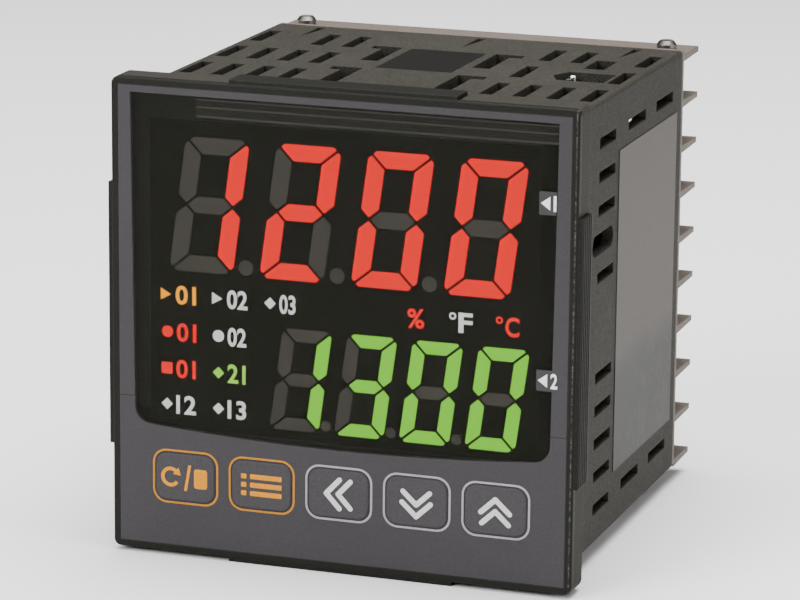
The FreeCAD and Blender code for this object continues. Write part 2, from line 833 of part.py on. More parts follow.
def grips():
    """Raised grips on the four sides, with fine ridges on the upright ones."""
    pieces = []
    back = "-grip_lip - fit_gap"
    for side in (-1, 1):
        reach = mirrored_span(side, "bezel_side/2 - lip_wall", FACE_HALF + " + grip_proud")
        y = (RIM_FRONT + " + rim_edge", back)
        pieces.append(brick("grip_%d" % len(pieces), span("grip_wide/2"), y, reach))
        pieces.append(brick("grip_%d" % len(pieces), reach, y, span("grip_tall/2")))
        for line in range(RIDGE_COUNT):
            crest = mirrored_span(side, FACE_HALF, FACE_HALF + " + grip_proud + grip_ridge")
            middle = "(rim_edge - bezel_depth + grip_ridge_pitch*%g)" % (line + 0.5)
            y = (middle + " - grip_ridge", middle + " + grip_ridge")
            pieces.append(brick("grip_ridge_%d" % len(pieces), crest, y, span("grip_tall/2 - fit_gap")))
    return pieces


def square_ring(name, outer, inner, y, corner=None):
    """A square ring between two half sides, with its outer corners rounded if asked."""
    frame = brick(name + "_outer", span(outer), y, span(outer))
    if corner:
        frame = rounded(name + "_soft", frame, corner, runs_along("y"))
    hole = brick(name + "_inner", span(inner), ("(%s) - 1" % y[0], "(%s) + 1" % y[1]), span(inner))
    return carved(name, frame, hole)


def shelves():
    """Small shelves that the display board rests on, and hooks that hold it from behind."""
    pieces = []
    behind = "display_board_front + board_thick + seat_gap"
    for side in (-1, 1):
        for end in (-1, 1):
            middle = "(%d*shelf_place)" % end
            run = (middle + " - shelf_wide/2", middle + " + shelf_wide/2")
            shelf = mirrored_span(side, SKIRT_INNER + " - shelf_high", SKIRT_INNER + " + seat_gap")
            hook = mirrored_span(side, SKIRT_INNER + " - hook_high", SKIRT_INNER + " + seat_gap")
            front = ("display_board_front - shelf_deep", "display_board_front")
            pieces.append(brick("board_shelf_%d" % len(pieces), shelf, front, run))
            pieces.append(brick("board_shelf_%d" % len(pieces), run, front, shelf))
            rear = (behind, behind + " + hook_high")
            pieces.append(brick("board_hook_%d" % len(pieces), hook, rear, run))
            pieces.append(brick("board_hook_%d" % len(pieces), run, rear, hook))
    return pieces


def front_frame():
    blank = brick("frame_plate_blank", span(FACE_HALF), (RIM_FRONT, RIM_BACK), span(FACE_HALF))
    plate = rounded("frame_plate", blank, size["bezel_corner"], runs_along("y"))

    def front_rim(edge):
        return abs(edge.BoundBox.YMax + size["bezel_depth"]) < 1e-6

    plate = rounded("frame_plate_soft", plate, size["rim_edge"], front_rim)
    skirt = square_ring("frame_skirt", SKIRT_OUTER, SKIRT_INNER, (SHEET_BACK, "skirt_end"))
    outer = "bezel_side/2 - lip_wall - fit_gap"
    y = (SHEET_BACK, RIM_BACK + " + rib_deep")
    rib = square_ring("frame_rib", outer, outer + " - rib_wall", y, size["bezel_corner"])
    bar = brick("frame_bar", span(SKIRT_INNER + " + seat_gap"), (SHEET_BACK, "-bar_deep"),
                ("bar_top - bar_high", "bar_top"))
    web = brick("frame_web", span(SKIRT_INNER + " + seat_gap"), (SHEET_BACK, WEB_BACK),
                ("-" + SKIRT_INNER, "bar_top - bar_high/2"))
    latches = []
    for side in (-1, 1):
        reach = mirrored_span(side, SKIRT_OUTER + " - seat_gap", SKIRT_OUTER + " + latch_high")
        latches.append(brick("frame_latch_%d" % len(latches), span("latch_wide/2"),
                             ("latch_start", "latch_start + latch_deep"), reach))
    tools = [brick("frame_sheet_recess", span("(sheet_side/2 + seat_gap)"), (RIM_FRONT + " - 1", SHEET_BACK),
                   span("(sheet_side/2 + seat_gap)"))]
    tools.append(brick("frame_display_hole", span(SKIRT_INNER), (RIM_FRONT + " - 1", RIM_BACK + " + 0.5"),
                       ("bar_top", SKIRT_INNER)))
    for number in range(KEY_COUNT):
        middle = key_place(number)
        half_wide = "(key_wide/2 + web_gap)"
        half_high = "(key_high/2 + web_gap)"
        tools.append(brick("frame_key_hole_%d" % (number + 1),
                           (middle + " - " + half_wide, middle + " + " + half_wide),
                           (RIM_FRONT + " - 1", WEB_BACK + " + 1"),
                           ("key_height - " + half_high, "key_height + " + half_high)))
    body = joined("frame_body", plate, skirt, rib, bar, web, *latches, *shelves(), *grips())
    keep(carved("front_frame", body, *tools), "front_frame")


# Sheets in the front: window, the trim round it and the key panel below it

def front_sheets():
    back = SHEET_BACK
    keep(window_plate("display_window", 0.0, RIM_FRONT, back), "display_window")
    opening = window_plate("window_opening", size["seat_gap"], RIM_FRONT + " - 1", back + " + 1")
    side = span("sheet_side/2")
    upper = brick("face_trim_blank", side, (RIM_FRONT, back), ("seam_height + seat_gap/2", "sheet_side/2"))
    keep(carved("face_trim", upper, opening), "face_trim")
    lower = brick("key_panel_blank", side, (RIM_FRONT, back), ("-sheet_side/2", "seam_height - seat_gap/2"))
    holes = [window_plate("window_foot", size["seat_gap"], RIM_FRONT + " - 1", back + " + 1")]
    for number in range(KEY_COUNT):
        middle = key_place(number)
        half_wide = "(key_wide/2 + key_gap)"
        half_high = "(key_high/2 + key_gap)"
        hole = brick("panel_key_blank_%d" % (number + 1),
                     (middle + " - " + half_wide, middle + " + " + half_wide),
                     (RIM_FRONT + " - 1", back + " + 1"),
                     ("key_height - " + half_high, "key_height + " + half_high))
        holes.append(rounded("panel_key_hole_%d" % (number + 1), hole,
                             size["key_corner"] + size["key_gap"], runs_along("y")))
    keep(carved("key_panel", lower, *holes), "key_panel")


# Keys: each a cap with a retaining flange and a stem that stands on the plunger of its switch

def push_key(number):
    name = "key_%d" % (number + 1)
    body = doc.addObject("PartDesign::Body", name)
    front = "-bezel_depth - key_proud"
    flange_front = WEB_BACK + " + key_gap"
    outline = front_sketch(body, name + "_cap_outline", front)
    draw_rounded_rectangle(outline, "key_wide", "key_high", "key_corner")
    pad(body, outline, name + "_cap", "(%s) - (%s)" % (flange_front, front))
    face = -size["bezel_depth"] - size["key_proud"]

    def front_edge(edge):
        return abs(edge.BoundBox.YMin - face) < 1e-6 and abs(edge.BoundBox.YMax - face) < 1e-6

    soften(body, name + "_edge", "key_edge", front_edge)
    outline = front_sketch(body, name + "_flange_outline", flange_front)
    rim = " + 2*web_gap + 2*key_flange"
    draw_rounded_rectangle(outline, "key_wide" + rim, "key_high" + rim, "key_corner")
    pad(body, outline, name + "_flange", "key_flange_thick")
    stem = front_sketch(body, name + "_stem_outline", flange_front + " + key_flange_thick")
    stem.addGeometry(Part.Circle(Vector(), Vector(0, 0, 1), near("key_stem_radius")), False)
    stem.addConstraint(Sketcher.Constraint("Coincident", 0, 3, -1, 1))
    bind(stem, "key_stem_radius", near("key_stem_radius"), "Radius", 0)
    length = "display_board_front - switch_deep - plunger_proud - (%s) - key_flange_thick" % flange_front
    pad(body, stem, name + "_stem", length)
    place(body, x=key_place(number), z="key_height")
    keep(body, name)


def tact_switch(number):
    label = number + 1
    x = key_place(number)
    front = "display_board_front - switch_deep"
    half = "switch_side/2"
    block = brick("switch_block_%d" % label, (x + " - " + half, x + " + " + half),
                  (front, "display_board_front"), ("key_height - " + half, "key_height + " + half))
    well = rod("switch_well_%d" % label, "y", (x, front + " - 1", "key_height"), "switch_bore",
               "1 + plunger_length - plunger_proud + key_travel + seat_gap")
    keep(carved("tact_switch_%d" % label, block, well), "tact_switch_%d" % label)
    plunger = rod("switch_plunger_%d" % label, "y", (x, front + " - plunger_proud", "key_height"),
                  "plunger_radius", "plunger_length")
    keep(plunger, "switch_plunger_%d" % label)


# Display block: a black reflector block with a slot for every light bar, and the bars that fill the slots

def segment_outlines(high, wide, stem, beam):
    """The seven bars of one upright digit as flat outlines about its centre, with no slits between them."""
    top = high/2
    right = wide/2
    inner = right - stem
    shoulder = top - beam
    half_beam = beam/2
    tip = right - stem/2
    nose = stem*0.42
    corner = (right - nose/2, top - nose/2)
    upper_right = [(inner, shoulder), corner, (right, top - nose),
                   (right, half_beam), (tip, 0), (inner, half_beam)]
    roof = [(-inner, shoulder), (-corner[0], corner[1]), (-right + nose, top),
            (right - nose, top), corner, (inner, shoulder)]
    middle = [(-tip, 0), (-inner, half_beam), (inner, half_beam),
              (tip, 0), (inner, -half_beam), (-inner, -half_beam)]

    def flipped(points, across, up):
        return [(x*across, y*up) for x, y in points]

    return {
        "a": roof,
        "b": upper_right,
        "c": flipped(upper_right, 1, -1),
        "d": flipped(roof, 1, -1),
        "e": flipped(upper_right, -1, -1),
        "f": flipped(upper_right, -1, 1),
        "g": middle,
    }


LIT_BARS = {"0": "abcdef", "1": "bc", "2": "abdeg", "3": "abcdg"}


def leaning_face(points, centre_x, centre_z, y, inset):
    """A bar's outline leaned by the slant, moved to its digit, drawn in on all sides and rounded."""
    lean = math.tan(math.radians(size["slant"]))
    places = [Vector(centre_x + u + v*lean, y, centre_z + v) for u, v in points]
    face = Part.Face(Part.makePolygon(places + places[:1]))
    soft = size["bar_corner"]
    return face.makeOffset2D(-inset - soft, 2).makeOffset2D(soft, 0)


def digit_bars(row, shown, inset, y, deep):
    """The bars of one row of digits: those that are lit, and those that are dark with the points."""
    lit = []
    dark = []
    outlines = segment_outlines(size[row + "_high"] + size["slit"], size[row + "_wide"] + size["slit"],
                                size[row + "_stem"] + size["slit"], size[row + "_beam"] + size["slit"])
    for place_number, figure in enumerate(shown):
        centre = size[row + "_first"] + size[row + "_pitch"]*place_number
        for bar, points in outlines.items():
            face = leaning_face(points, centre, size[row + "_height"], y, inset)
            chosen = lit if bar in LIT_BARS[figure] else dark
            chosen.append(face.extrude(Vector(0, deep, 0)))
    gap = inset - size["slit"]/2
    for place_number in range(len(shown) - 1):
        x = size[row + "_first"] + size[row + "_pitch"]*place_number + size[row + "_dot_across"]
        z = size[row + "_height"] - size[row + "_dot_down"]
        dark.append(Part.makeCylinder(size[row + "_dot"] - gap, deep, Vector(x, y, z), Vector(0, 1, 0)))
    return lit, dark


def lamp_places():
    """Centres of the status lamps: two columns of four and one lamp beside the top row."""
    across = [size["lamp_first"] + size["lamp_pitch"]*column for column in range(3)]
    down = [size["lamp_top"] - size["lamp_drop"]*line for line in range(4)]
    return [(x, z) for x in across[:2] for z in down] + [(across[2], down[0])]


def unit_places():
    """Centres of the three unit lamps between the digit rows."""
    return [(size["unit_first"] + size["unit_pitch"]*step, size["unit_height"]) for step in range(3)]


def lamp_bars(inset, y, deep):
    """Light bars behind the status and unit signs."""
    shapes = []
    for places, wide in ((lamp_places(), size["lamp_wide"]), (unit_places(), size["unit_wide"])):
        half_wide = wide/2 - inset
        half_high = size["lamp_high"]/2 - inset
        for x, z in places:
            across = (x - half_wide, x + half_wide)
            shapes.append(box_between(across, (y, y + deep), (z - half_high, z + half_high)))
    return shapes


def display_block():
    face = -size["bezel_depth"] + size["sheet_thick"] + size["block_gap"]
    figures = {"pv": "1200", "sv": "1300"}
    slots = []
    wall = size["slit"]/2
    deep = size["bar_slot_deep"]
    for row, shown in figures.items():
        lit, dark = digit_bars(row, shown, wall, face - 1, deep + 1)
        slots += lit + dark
    slots += lamp_bars(0.0, face - 1, deep + 1)
    blank = brick("display_block_blank", span("block_half_wide"),
                  (SHEET_BACK + " + block_gap", "display_board_front"), ("block_bottom", "block_top"))
    cavities = shaped("display_block_slots", Part.makeCompound(slots))
    keep(carved("display_block", blank, cavities), "display_block")
    gap = size["light_gap"]
    for row, shown in figures.items():
        lit, dark = digit_bars(row, shown, wall + gap, face, size["light_bar_deep"])
        keep(shaped(row + "_bars_lit", Part.makeCompound(lit)), row + "_bars_lit")
        keep(shaped(row + "_bars_dark", Part.makeCompound(dark)), row + "_bars_dark")
    lamps = lamp_bars(gap, face, size["light_bar_deep"])
    keep(shaped("lamp_bars", Part.makeCompound(lamps)), "lamp_bars")


# Boards and what stands on them

def boards():
    half = SKIRT_INNER + " - board_gap"
    back = "(display_board_front + board_thick)"
    keep(brick("display_board", span(half), ("display_board_front", back), span(half)), "display_board")
    chip = brick("controller_chip", span("chip_side/2"), (back, back + " + chip_thick"), span("chip_side/2"))
    keep(chip, "controller_chip")
    for side, word in ((-1, "left"), (1, "right")):
        x = mirrored_span(side, "side_board_place", "side_board_place + board_thick")
        board = brick("%s_board" % word, x, ("side_board_start", "side_board_end - fit_gap"),
                      span(CASE_INNER + " - board_gap"))
        keep(board, "%s_board" % word)
        x = mirrored_span(side, "side_board_place - header_thick", "side_board_place")
        header = brick("%s_header" % word, x, (back, back + " + header_deep"), span("header_tall/2"))
        keep(header, "%s_header" % word)


def transformer():
    """A shell-type core of stacked sheets with one coil round its middle leg."""
    middle = "-(side_board_place - core_thick/2 - coil_wall)"
    end = "core_start + core_deep"
    top = "core_low + core_tall"
    block = brick("core_block", (middle + " - core_thick/2", middle + " + core_thick/2"),
                  ("core_start", end), ("core_low", top))
    x = (middle + " - core_thick", middle + " + core_thick")
    z = ("core_low + core_leg", top + " - core_leg")
    leg = "(core_start + core_deep/2)"
    front_window = brick("core_window_front", x, ("core_start + core_leg", leg + " - core_leg"), z)
    rear_window = brick("core_window_rear", x, (leg + " + core_leg", end + " - core_leg"), z)
    keep(carved("transformer_core", block, front_window, rear_window), "transformer_core")
    gap = "fit_gap"
    outside = "(core_thick/2 + coil_wall)"
    winding = brick("coil_block", (middle + " - " + outside, middle + " + " + outside),
                    (leg + " - core_deep/2 + core_leg + " + gap, leg + " + core_deep/2 - core_leg - " + gap),
                    ("core_low + core_leg + " + gap, top + " - core_leg - " + gap))
    soft = rounded("coil_soft", winding, size["coil_wall"]*0.4, runs_along("z"))
    hole = brick("coil_hole", (middle + " - core_thick/2 - " + gap, middle + " + core_thick/2 + " + gap),
                 (leg + " - core_leg - " + gap, leg + " + core_leg + " + gap), ("core_low", top))
    keep(carved("transformer_coil", soft, hole), "transformer_coil")


def capacitors():
    """Two round capacitors that lie across from the left board, with a rolled groove near the base."""
    groove = "capacitor_radius*0.92"
    profile = [("0", "0"), ("capacitor_radius", "0"), ("capacitor_radius", "capacitor_length*0.1"),
               (groove, "capacitor_length*0.13"), ("capacitor_radius", "capacitor_length*0.16"),
               ("capacitor_radius", "capacitor_length"), ("0", "capacitor_length")]
    for number in range(2):
        body = turned("capacitor_%d" % (number + 1), profile)
        body.Placement = Placement(Vector(), Rotation(Vector(0, 0, 1), -90))
        y = "capacitor_start + capacitor_pitch*%d" % number
        place(body, x="-side_board_place", y=y, z="capacitor_height")
        keep(body, "capacitor_%d" % (number + 1))


def relays():
    """Two output relays in sealed cases on the right board."""
    for number in range(2):
        low = "relay_low + relay_pitch*%d" % number
        case = brick("relay_case_%d" % (number + 1), ("side_board_place - relay_tall", "side_board_place"),
                     ("relay_start", "relay_start + relay_long"), (low, low + " + relay_wide"))

        def top_edge(edge):
            reach = size["side_board_place"] - size["relay_tall"]
            return abs(edge.BoundBox.XMax - reach) < 1e-6

        keep(rounded("relay_%d" % (number + 1), case, 0.6, top_edge), "relay_%d" % (number + 1))


def heat_sink():
    """A folded sheet on the right board, with a tongue that stands up into the port of the case."""
    y = ("sink_start", "sink_end")
    board = "side_board_place"
    end = board + " - sink_reach"
    foot = brick("sink_foot", (board + " - sink_thick", board), y, ("sink_low", "sink_shelf"))
    shelf = brick("sink_shelf_sheet", (end, board), y, ("sink_shelf - sink_thick", "sink_shelf"))
    lip = brick("sink_lip_sheet", (end, end + " + sink_thick"), y, ("sink_shelf - sink_thick", "sink_lip"))
    y = ("port_start + tongue_end_gap", "port_start + port_long - tongue_end_gap")
    tongue = brick("sink_tongue", (end, end + " + sink_thick"), y,
                   ("sink_shelf - sink_thick", "body_side/2 - tongue_inset"))
    keep(joined("heat_sink", foot, shelf, lip, tongue), "heat_sink")


# Terminal block: plug, collar and barrier fins in one moulding, with its screws, clamps and contact tabs

def fin_low(number):
    """Height of a fin's underside at its root."""
    return "(fin_pitch*%d - body_side/2)" % number


def row_middle(number):
    """Height of the middle of the row above a fin, as a number."""
    return size["fin_pitch"]*(number + 0.5) + size["fin_root"]/2 - size["body_side"]/2


def terminal_places():
    """Centres of the terminals: two columns, a row between each two fins."""
    return [(side, row_middle(number)) for side in (-1, 1) for number in range(FIN_COUNT - 1)]


def fin(number):
    """A barrier fin, flush with the case's sides, that thins towards its tip."""
    solid = doc.addObject("Part::Wedge", "fin_%d" % (number + 1))
    thin = "(fin_root - fin_tip)/2"
    values = {
        "Xmin": "-body_side/2", "Xmax": "body_side/2", "X2min": "-body_side/2", "X2max": "body_side/2",
        "Ymin": "body_length - seat_gap", "Ymax": "body_length + fin_reach",
        "Zmin": "0", "Zmax": "fin_root", "Z2min": thin, "Z2max": "fin_root - " + thin,
    }
    for name, text in values.items():
        solid.setExpression(name, linked(text))
    place(solid, z=fin_low(number))
    return solid


def terminal_block():
    half = "body_side/2"
    plug_half = CASE_INNER + " - board_gap"
    y = (PLUG_FRONT, COLLAR_FRONT + " + seat_gap")
    plug = brick("block_plug_blank", span(plug_half), y, span(plug_half))
    plug = rounded("block_plug", plug, size["body_corner"], runs_along("y"))
    collar = brick("block_collar_blank", span(half), (COLLAR_FRONT, "body_length"), span(half))
    collar = rounded("block_collar", collar, size["body_corner"], runs_along("y"))
    spine = brick("block_spine", span("spine_half"), ("body_length - seat_gap", "body_length + spine_reach"),
                  ("-" + half, fin_low(FIN_COUNT - 1) + " + fin_root"))
    bosses = []
    top = fin_low(FIN_COUNT - 1)
    for side in (-1, 1):
        x = mirrored_span(side, "boss_place - boss_side/2", "boss_place + boss_side/2")
        y = ("body_length - seat_gap", "body_length + boss_reach")
        z = (top + " - boss_high", top + " + seat_gap")
        bosses.append(brick("block_boss_%d" % len(bosses), x, y, z))
    fins = [fin(number) for number in range(FIN_COUNT)]
    body = joined("block_body", plug, collar, spine, *bosses, *fins)
    holes = []
    back = size["body_length"]
    inner = size["side_board_place"] - size["tab_thick"] - size["fit_gap"]
    outer = size["side_board_place"] + size["fit_gap"]
    half_leg = size["leg_high"]/2 + size["fit_gap"]
    for side, z in terminal_places():
        x = sorted((side*inner, side*outer))
        holes.append(box_between(x, (back - size["plug_deep"] - 2, back + 0.5), (z - half_leg, z + half_leg)))
        well = Vector(side*size["terminal_reach"], back - size["plug_deep"] + 0.6, z)
        holes.append(Part.makeCylinder(size["screw_hole"], size["plug_deep"], well, Vector(0, 1, 0)))
    wells = shaped("block_wells", Part.makeCompound(holes))
    pins = []
    for side in (-1, 1):
        start = ("%d*boss_place" % side, "pin_screw_place", top + " + fin_root - pin_screw_length")
        pins.append(rod("block_pin_hole_%d" % len(pins), "z", start, "pin_screw_radius + light_gap",
                        "pin_screw_length + 1"))
    keep(carved("terminal_block", body, wells, *pins), "terminal_block")


def repeated(shape, places):
    """Copies of one shape at each place."""
    return Part.makeCompound([shape.translated(Vector(*spot)) for spot in places])


def terminal_tabs():
    """Folded contact strips: a plate under each screw and a leg through the block to a side board."""
    back = size["body_length"]
    solids = []
    for side, z in terminal_places():
        outer = size["side_board_place"]
        x = sorted((side*(outer - size["tab_wide"]), side*outer))
        half = size["tab_high"]/2
        plate = box_between(x, (back, back + size["tab_thick"]), (z - half, z + half))
        x = sorted((side*(outer - size["tab_thick"]), side*outer))
        half = size["leg_high"]/2
        leg = box_between(x, (size["leg_start"], back + size["tab_thick"]), (z - half, z + half))
        start = Vector(side*size["terminal_reach"], back - size["tab_thick"], z)
        radius = size["screw_radius"] + size["light_gap"]
        hole = Part.makeCylinder(radius, 3*size["tab_thick"], start, Vector(0, 1, 0))
        solids.append(plate.fuse(leg).cut(hole).removeSplitter())
    keep(shaped("terminal_tabs", Part.makeCompound(solids)), "terminal_tabs")


def terminal_clamps():
    """Square clamp plates under the screw heads."""
    half = size["clamp_side"]/2
    thick = size["clamp_thick"]
    base = size["body_length"] + size["tab_thick"]
    plate = box_between((-half, half), (base, base + thick), (-half, half))
    start = Vector(0, base - thick, 0)
    hole = Part.makeCylinder(size["screw_radius"] + size["fit_gap"], 3*thick, start, Vector(0, 1, 0))
    places = [(side*size["terminal_reach"], 0, z) for side, z in terminal_places()]
    keep(shaped("terminal_clamps", repeated(plate.cut(hole), places)), "terminal_clamps")


def pan_screw(name, head_radius, head_high, radius, length):
    """A slotted pan-head screw on its own Y axis, its seat at zero and its head towards +Y."""
    dome = "%s*0.62" % head_high
    profile = [("0", "-%s" % length), (radius, "-%s" % length), (radius, "0"), (head_radius, "0"),
               (head_radius, dome), ("%s*0.72" % head_radius, head_high), ("0", head_high)]
    body = turned(name, profile)
    slot = body.newObject("Sketcher::SketchObject", name + "_slot_outline")
    plane = next(item for item in body.Origin.OriginFeatures if item.Role == "XZ_Plane")
    slot.AttachmentSupport = [(plane, "")]
    slot.MapMode = "FlatFace"
    slot.setExpression("AttachmentOffset.Base.z", linked("-(%s)" % head_high))
    half = near(head_radius)
    corners = [Vector(-half, -0.3, 0), Vector(half, -0.3, 0), Vector(half, 0.3, 0), Vector(-half, 0.3, 0)]
    for number in range(4):
        slot.addGeometry(Part.LineSegment(corners[number], corners[(number + 1) % 4]), False)
    for number in range(4):
        slot.addConstraint(Sketcher.Constraint("Coincident", number, 2, (number + 1) % 4, 1))
        slot.addConstraint(Sketcher.Constraint("Vertical" if number % 2 else "Horizontal", number))
    slot.addConstraint(Sketcher.Constraint("Symmetric", 0, 1, 1, 2, -1, 1))
    bind(slot, "2*(%s) + 1" % head_radius, 2*half, "DistanceX", 0, 1, 0, 2)
    bind(slot, "slot_wide", 0.6, "DistanceY", 1, 1, 1, 2)
    cut = body.newObject("PartDesign::Pocket", name + "_slot")
    cut.Profile = slot
    cut.Reversed = True
    cut.setExpression("Length", linked("slot_deep"))
    return body


def screws():
    """Terminal screws in two columns, and two small screws down into the bosses."""
    pattern = pan_screw("terminal_screw", "screw_head_radius", "screw_head_high",
                        "screw_radius", "screw_length")
    small = pan_screw("pin_screw", "pin_head_radius", "pin_head_high",
                      "pin_screw_radius", "pin_screw_length")
    doc.recompute()
    seat = size["body_length"] + size["tab_thick"] + size["clamp_thick"]
    places = [(side*size["terminal_reach"], seat, z) for side, z in terminal_places()]
    keep(shaped("terminal_screws", repeated(pattern.Shape, places)), "terminal_screws")
    upright = small.Shape.rotated(Vector(), Vector(1, 0, 0), 90)
    top = size["fin_pitch"]*(FIN_COUNT - 1) - size["body_side"]/2 + size["fin_root"]
    places = [(side*size["boss_place"], size["pin_screw_place"], top) for side in (-1, 1)]
    keep(shaped("case_screws", repeated(upright, places)), "case_screws")


# Plate in the top of the case and blank label on its right side

def labels():
    keep(brick("top_plate", span("plate_half_wide"), ("plate_start", "plate_end"),
               ("body_side/2 - plate_thick", "body_side/2")), "top_plate")
    keep(brick("side_label", ("body_side/2", "body_side/2 + label_thick"), ("label_start", "label_end"),
               ("label_low", "label_top")), "side_label")


rear_case()
front_frame()
front_sheets()
for key_number in range(KEY_COUNT):
    push_key(key_number)
    tact_switch(key_number)
display_block()
boards()
transformer()
capacitors()
relays()
heat_sink()
terminal_block()
terminal_tabs()
terminal_clamps()
screws()
labels()
doc.recompute()

faults = [item.Name for item in doc.Objects if "Invalid" in item.State or "Error" in item.State]
faults += [item.Label for item in finished if item.Shape.isNull() or not item.Shape.isValid()]
if faults:
    raise RuntimeError("pieces that did not build: " + ", ".join(faults))

os.makedirs("parts", exist_ok=True)
for piece in finished:
    piece.Shape.exportStep("parts/%s.step" % piece.Label)
    print("%-18s %3d solids %10.2f mm3" % (piece.Label, len(piece.Shape.Solids), piece.Shape.Volume))
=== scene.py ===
import json
import math

import bmesh
import bpy
from mathutils import Matrix, Vector


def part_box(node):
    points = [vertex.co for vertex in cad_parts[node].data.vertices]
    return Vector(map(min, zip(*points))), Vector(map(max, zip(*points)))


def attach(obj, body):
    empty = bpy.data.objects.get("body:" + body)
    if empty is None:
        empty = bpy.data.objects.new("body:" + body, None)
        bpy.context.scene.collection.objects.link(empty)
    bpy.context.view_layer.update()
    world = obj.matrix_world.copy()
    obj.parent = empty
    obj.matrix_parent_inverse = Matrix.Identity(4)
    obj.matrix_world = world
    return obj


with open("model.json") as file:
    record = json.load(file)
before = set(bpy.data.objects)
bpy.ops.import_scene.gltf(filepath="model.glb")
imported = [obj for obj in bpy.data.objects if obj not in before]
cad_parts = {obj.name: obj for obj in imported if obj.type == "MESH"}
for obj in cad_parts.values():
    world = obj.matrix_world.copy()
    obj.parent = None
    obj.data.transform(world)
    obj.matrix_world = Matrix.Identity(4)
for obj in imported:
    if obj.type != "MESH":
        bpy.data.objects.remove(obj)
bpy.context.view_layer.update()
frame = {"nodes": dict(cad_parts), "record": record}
nodes = frame["nodes"]

MM = 0.001
BODY = "controller"
QUARTER = math.pi/2

# Camera, worked out from the photograph's straight edges
LENS = 183.9
SENSOR = 36.0
NEAR_LIMIT = 0.01
CAMERA_PLACE = Vector((195.52, -550.93, 145.89))*MM
CAMERA_AZIMUTH = math.radians(18.87)
CAMERA_ELEVATION = math.radians(13.65)
CAMERA_ROLL = math.radians(0.55)

# Window and key caps, in millimetres, as the solids have them
WINDOW_LEAN = 0.55
WINDOW_SAG = 1.25
WINDOW_CORNER = 2.6
CAP_WIDE = 9.4
CAP_HIGH = 7.3
CAP_CORNER = 1.7
ORANGE_KEYS = 2

# Places on the front, in millimetres, from the solids
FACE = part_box("key_panel")[0].y/MM
KEY_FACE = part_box("key_3")[0].y/MM
BLOCK_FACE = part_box("display_block")[0].y/MM
WINDOW_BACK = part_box("display_window")[1].y/MM
KEY_HEIGHT = sum(corner.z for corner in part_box("key_3"))/2/MM
KEY_PLACES = [sum(corner.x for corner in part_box("key_%d" % number))/2/MM for number in range(1, 6)]

# Rough grips start just inside the case's side; the line of painted highlight along the front edge lies
# inside them
GRIP_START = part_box("rear_case")[1].x/MM - 0.02
EDGE_LINE = GRIP_START - 0.45
EDGE_DEEP = FACE + 1.2
HIGHLIGHT_REACH = 0.16

# Grain: how much of a slow change of tone also goes to the roughness
TONE_ROUGHENS = 0.12

# Label: the heights between which painted shade deepens its tone towards the foot, and how far clouds move
# them
LABEL_FOOT = (-9.0, -4.0)
LABEL_CLOUD = 4.0

# Prints: thickness of a print and of the film under the lamp signs, and how bold the figures are
PRINT = 0.02
FILM = 0.03
FIGURE_WEIGHT = 0.026
SIGN_BACK = BLOCK_FACE - FILM

# Lamp signs: colour, left end, foot, width, symbol and number
SIGN_HIGH = 2.9
SYMBOL_SHARE = 0.62
SYMBOL_GAP = 0.55
SYMBOL_CORNER = 0.25
PLAY_SHARE = 0.9
STATUS_SIGNS = (
    ("orange", -28.5, 2.1, 5.6, "play", "01"),
    ("white", -20.35, 2.1, 5.6, "play", "02"),
    ("white", -12.1, 2.1, 4.9, "diamond", "03"),
    ("red", -28.35, -3.6, 5.5, "round", "01"),
    ("white", -20.25, -3.6, 5.3, "round", "02"),
    ("red", -28.45, -9.2, 5.5, "square", "01"),
    ("green", -20.25, -9.2, 5.2, "diamond", "21"),
    ("white", -28.45, -14.7, 5.5, "diamond", "12"),
    ("white", -20.25, -14.7, 5.3, "diamond", "13"),
)

# Unit signs: a share sign and two degree signs, each with a ring and a letter
UNIT_FOOT = 1.75
UNIT_HIGH = 3.0
SHARE_LEFT = 10.1
SHARE_WIDE = 2.65
DEGREE_SIGNS = (("unit_degree_1", "F", 16.5, "white"), ("unit_degree_2", "C", 23.6, "red"))
DEGREE_HEIGHT = 4.15
DEGREE_RADIUS = 0.55
DEGREE_HOLE = 0.27
LETTER_START = 1.45
LETTER_WIDE = 2.15

# Film patches over the lamp bars
FILM_MARGIN = 0.2
FILM_CORNER = 0.3
COLUMN_FILM = (-29.15, -14.25)
THIRD_FILM = (-12.7, -6.1, 1.55, 5.65)
UNIT_FILM_LEFT = 8.8
UNIT_FILM_HEIGHTS = (1.3, 5.4)

# Prints on the window: a border, a band with stripes given by height and width, and the row tags
BORDER_LAP = 0.2
BORDER_INSET = 0.05
STRIPE_ENDS = (-22.75, 32.7)
BAND = (30.7, 33.45)
STRIPES = ((33.2, 0.2), (32.1, 0.26), (30.7, 0.3))
ROW_TAGS = ((20.4, 23.85), (-5.55, -2.4))
TAG_LEFT = 30.1
TAG_FOOT_RIGHT = 32.62
TAG_TOP_RIGHT = 32.7
TAG_ARROW_LEFT = 30.35
TAG_ARROW_RIGHT = 31.75
TAG_ARROW_HALF = 1.0
ROW_FIGURE_LEFT = 32.25
ROW_FIGURE_HIGH = 2.3
ROW_FIGURE_WIDE = (0.42, 1.05)

# Rings round a key cap: how far the outer and the inner edge lie outside it, and what their corners gain
LINE_OUTER = (0.53, 0.48)
LINE_INNER = (0.23, 0.22)
SEAL_OUTER = (0.145, 0.145)
SEAL_INNER = (0.01, 0.01)
SEAL_BACK = FACE + 0.15
SEAL_THICK = 0.14

